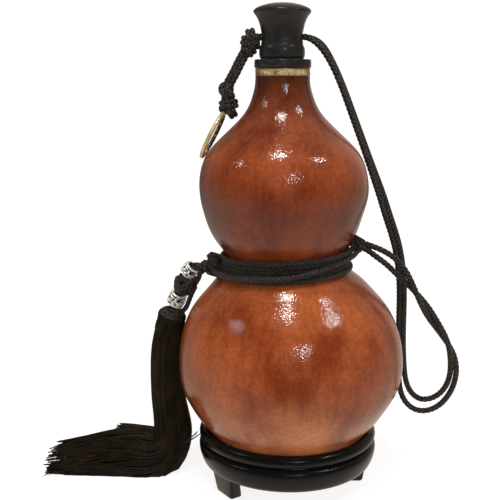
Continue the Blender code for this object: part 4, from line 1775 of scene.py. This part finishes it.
shape = bmesh.new()
bmesh.ops.create_circle(shape, cap_ends=True, segments=64, radius=FLOOR_REACH)
stage_piece("studio_floor", shape, paper_look("white_paper", 0.84, 0.25))
shape = bmesh.new()
bmesh.ops.create_uvsphere(shape, u_segments=48, v_segments=24, radius=FLOOR_REACH)
bmesh.ops.reverse_faces(shape, faces=shape.faces)
dome = stage_piece("studio_dome", shape, paper_look("white_wall", 1.0, 0.1))
dome.visible_shadow = False
print("floor reach:", FLOOR_REACH, "m")

# %% [markdown]
# ## Light
#
# Soft wide lamps give the even light of the tent and stay out of the reflections. Four small
# ones are there to be mirrored: their directions come from the highlights, which sit at the
# same angles on the neck and on both bulbs.

# %% Lamps
AIM = Vector((-0.002, 0.0, 0.13))


def way_to(azimuth, elevation):
    """The direction from the object, with azimuth in degrees from the front towards +X."""
    a, e = math.radians(azimuth), math.radians(elevation)
    return Vector((math.sin(a) * math.cos(e), -math.cos(a) * math.cos(e), math.sin(e)))


def lamp(name, azimuth, elevation, distance, size, watts, colour=(1.0, 1.0, 1.0), glossy=True):
    """A soft oval lamp that faces the object."""
    data = bpy.data.lights.new(name, "AREA")
    data.shape = "ELLIPSE"
    data.size, data.size_y = size
    data.energy = watts
    data.color = colour
    made = bpy.data.objects.new(name, data)
    way = way_to(azimuth, elevation)
    made.location = AIM + way * distance
    made.rotation_euler = way.to_track_quat("Z", "Y").to_euler()
    made.visible_glossy = glossy
    made.visible_camera = False
    bpy.context.scene.collection.objects.link(made)


lamp("lamp_above", -12, 73, 1.3, (0.14, 0.14), 6.5, (1.0, 0.95, 0.86))
lamp("lamp_left", -76, 39, 1.3, (0.08, 0.08), 0.9)
lamp("lamp_right", 69, 51, 1.3, (0.075, 0.075), 2.3)
lamp("lamp_front", 12, 24, 1.4, (0.08, 0.08), 2.0, (0.84, 0.92, 1.0))
lamp("tent_top", -10, 60, 1.6, (1.0, 1.0), 13.0, glossy=False)
lamp("tent_front", 0, 8, 1.7, (0.9, 0.9), 21.0, (1.0, 0.98, 0.95), glossy=False)
lamp("tent_left", -80, 20, 1.5, (1.2, 1.2), 1.5, glossy=False)
lamp("tent_right", 80, 20, 1.5, (1.2, 1.2), 1.5, glossy=False)

# %% Mirrored room
world = bpy.data.worlds.new("tent_mirror")
bpy.context.scene.world = world
world.use_nodes = True
room = Graph(world.node_tree)
looking = room.node("ShaderNodeTexCoord", out="Generated")
parts = room.node("ShaderNodeSeparateXYZ", None, {"Vector": looking}).socket.node
east, north, high = (Value(room, parts.outputs[axis]) for axis in "XYZ")
above = ramp(
    room,
    0.5 + 0.5 * north,
    [
        (0.0, (0.040, 0.035, 0.030)),
        (0.36, (0.050, 0.042, 0.035)),
        (0.50, (0.110, 0.085, 0.065)),
        (0.67, (0.400, 0.310, 0.250)),
        (0.93, (0.600, 0.500, 0.430)),
    ],
)
shades = [(0.12, (0.50,) * 3), (0.30, (0.22,) * 3), (0.52, (1.0,) * 3)]
sides = room.multiplied(above, ramp(room, 0.5 + 0.5 * east, shades))
lifted = high - 0.3 * east * east
ground = ramp(room, 0.5 + 0.5 * lifted, [(0.14, (1.0, 1.0, 1.0)), (0.42, (0.0, 0.0, 0.0))])
mirrored = room.node(
    "ShaderNodeMix",
    {"data_type": "RGBA"},
    {"Factor": ground, "A": sides, "B": (0.88, 0.76, 0.63, 1.0)},
    "Result",
)
room.tree.links.new(mirrored.socket, world.node_tree.nodes["Background"].inputs["Color"])
bpy.context.scene.view_settings.view_transform = "Standard"
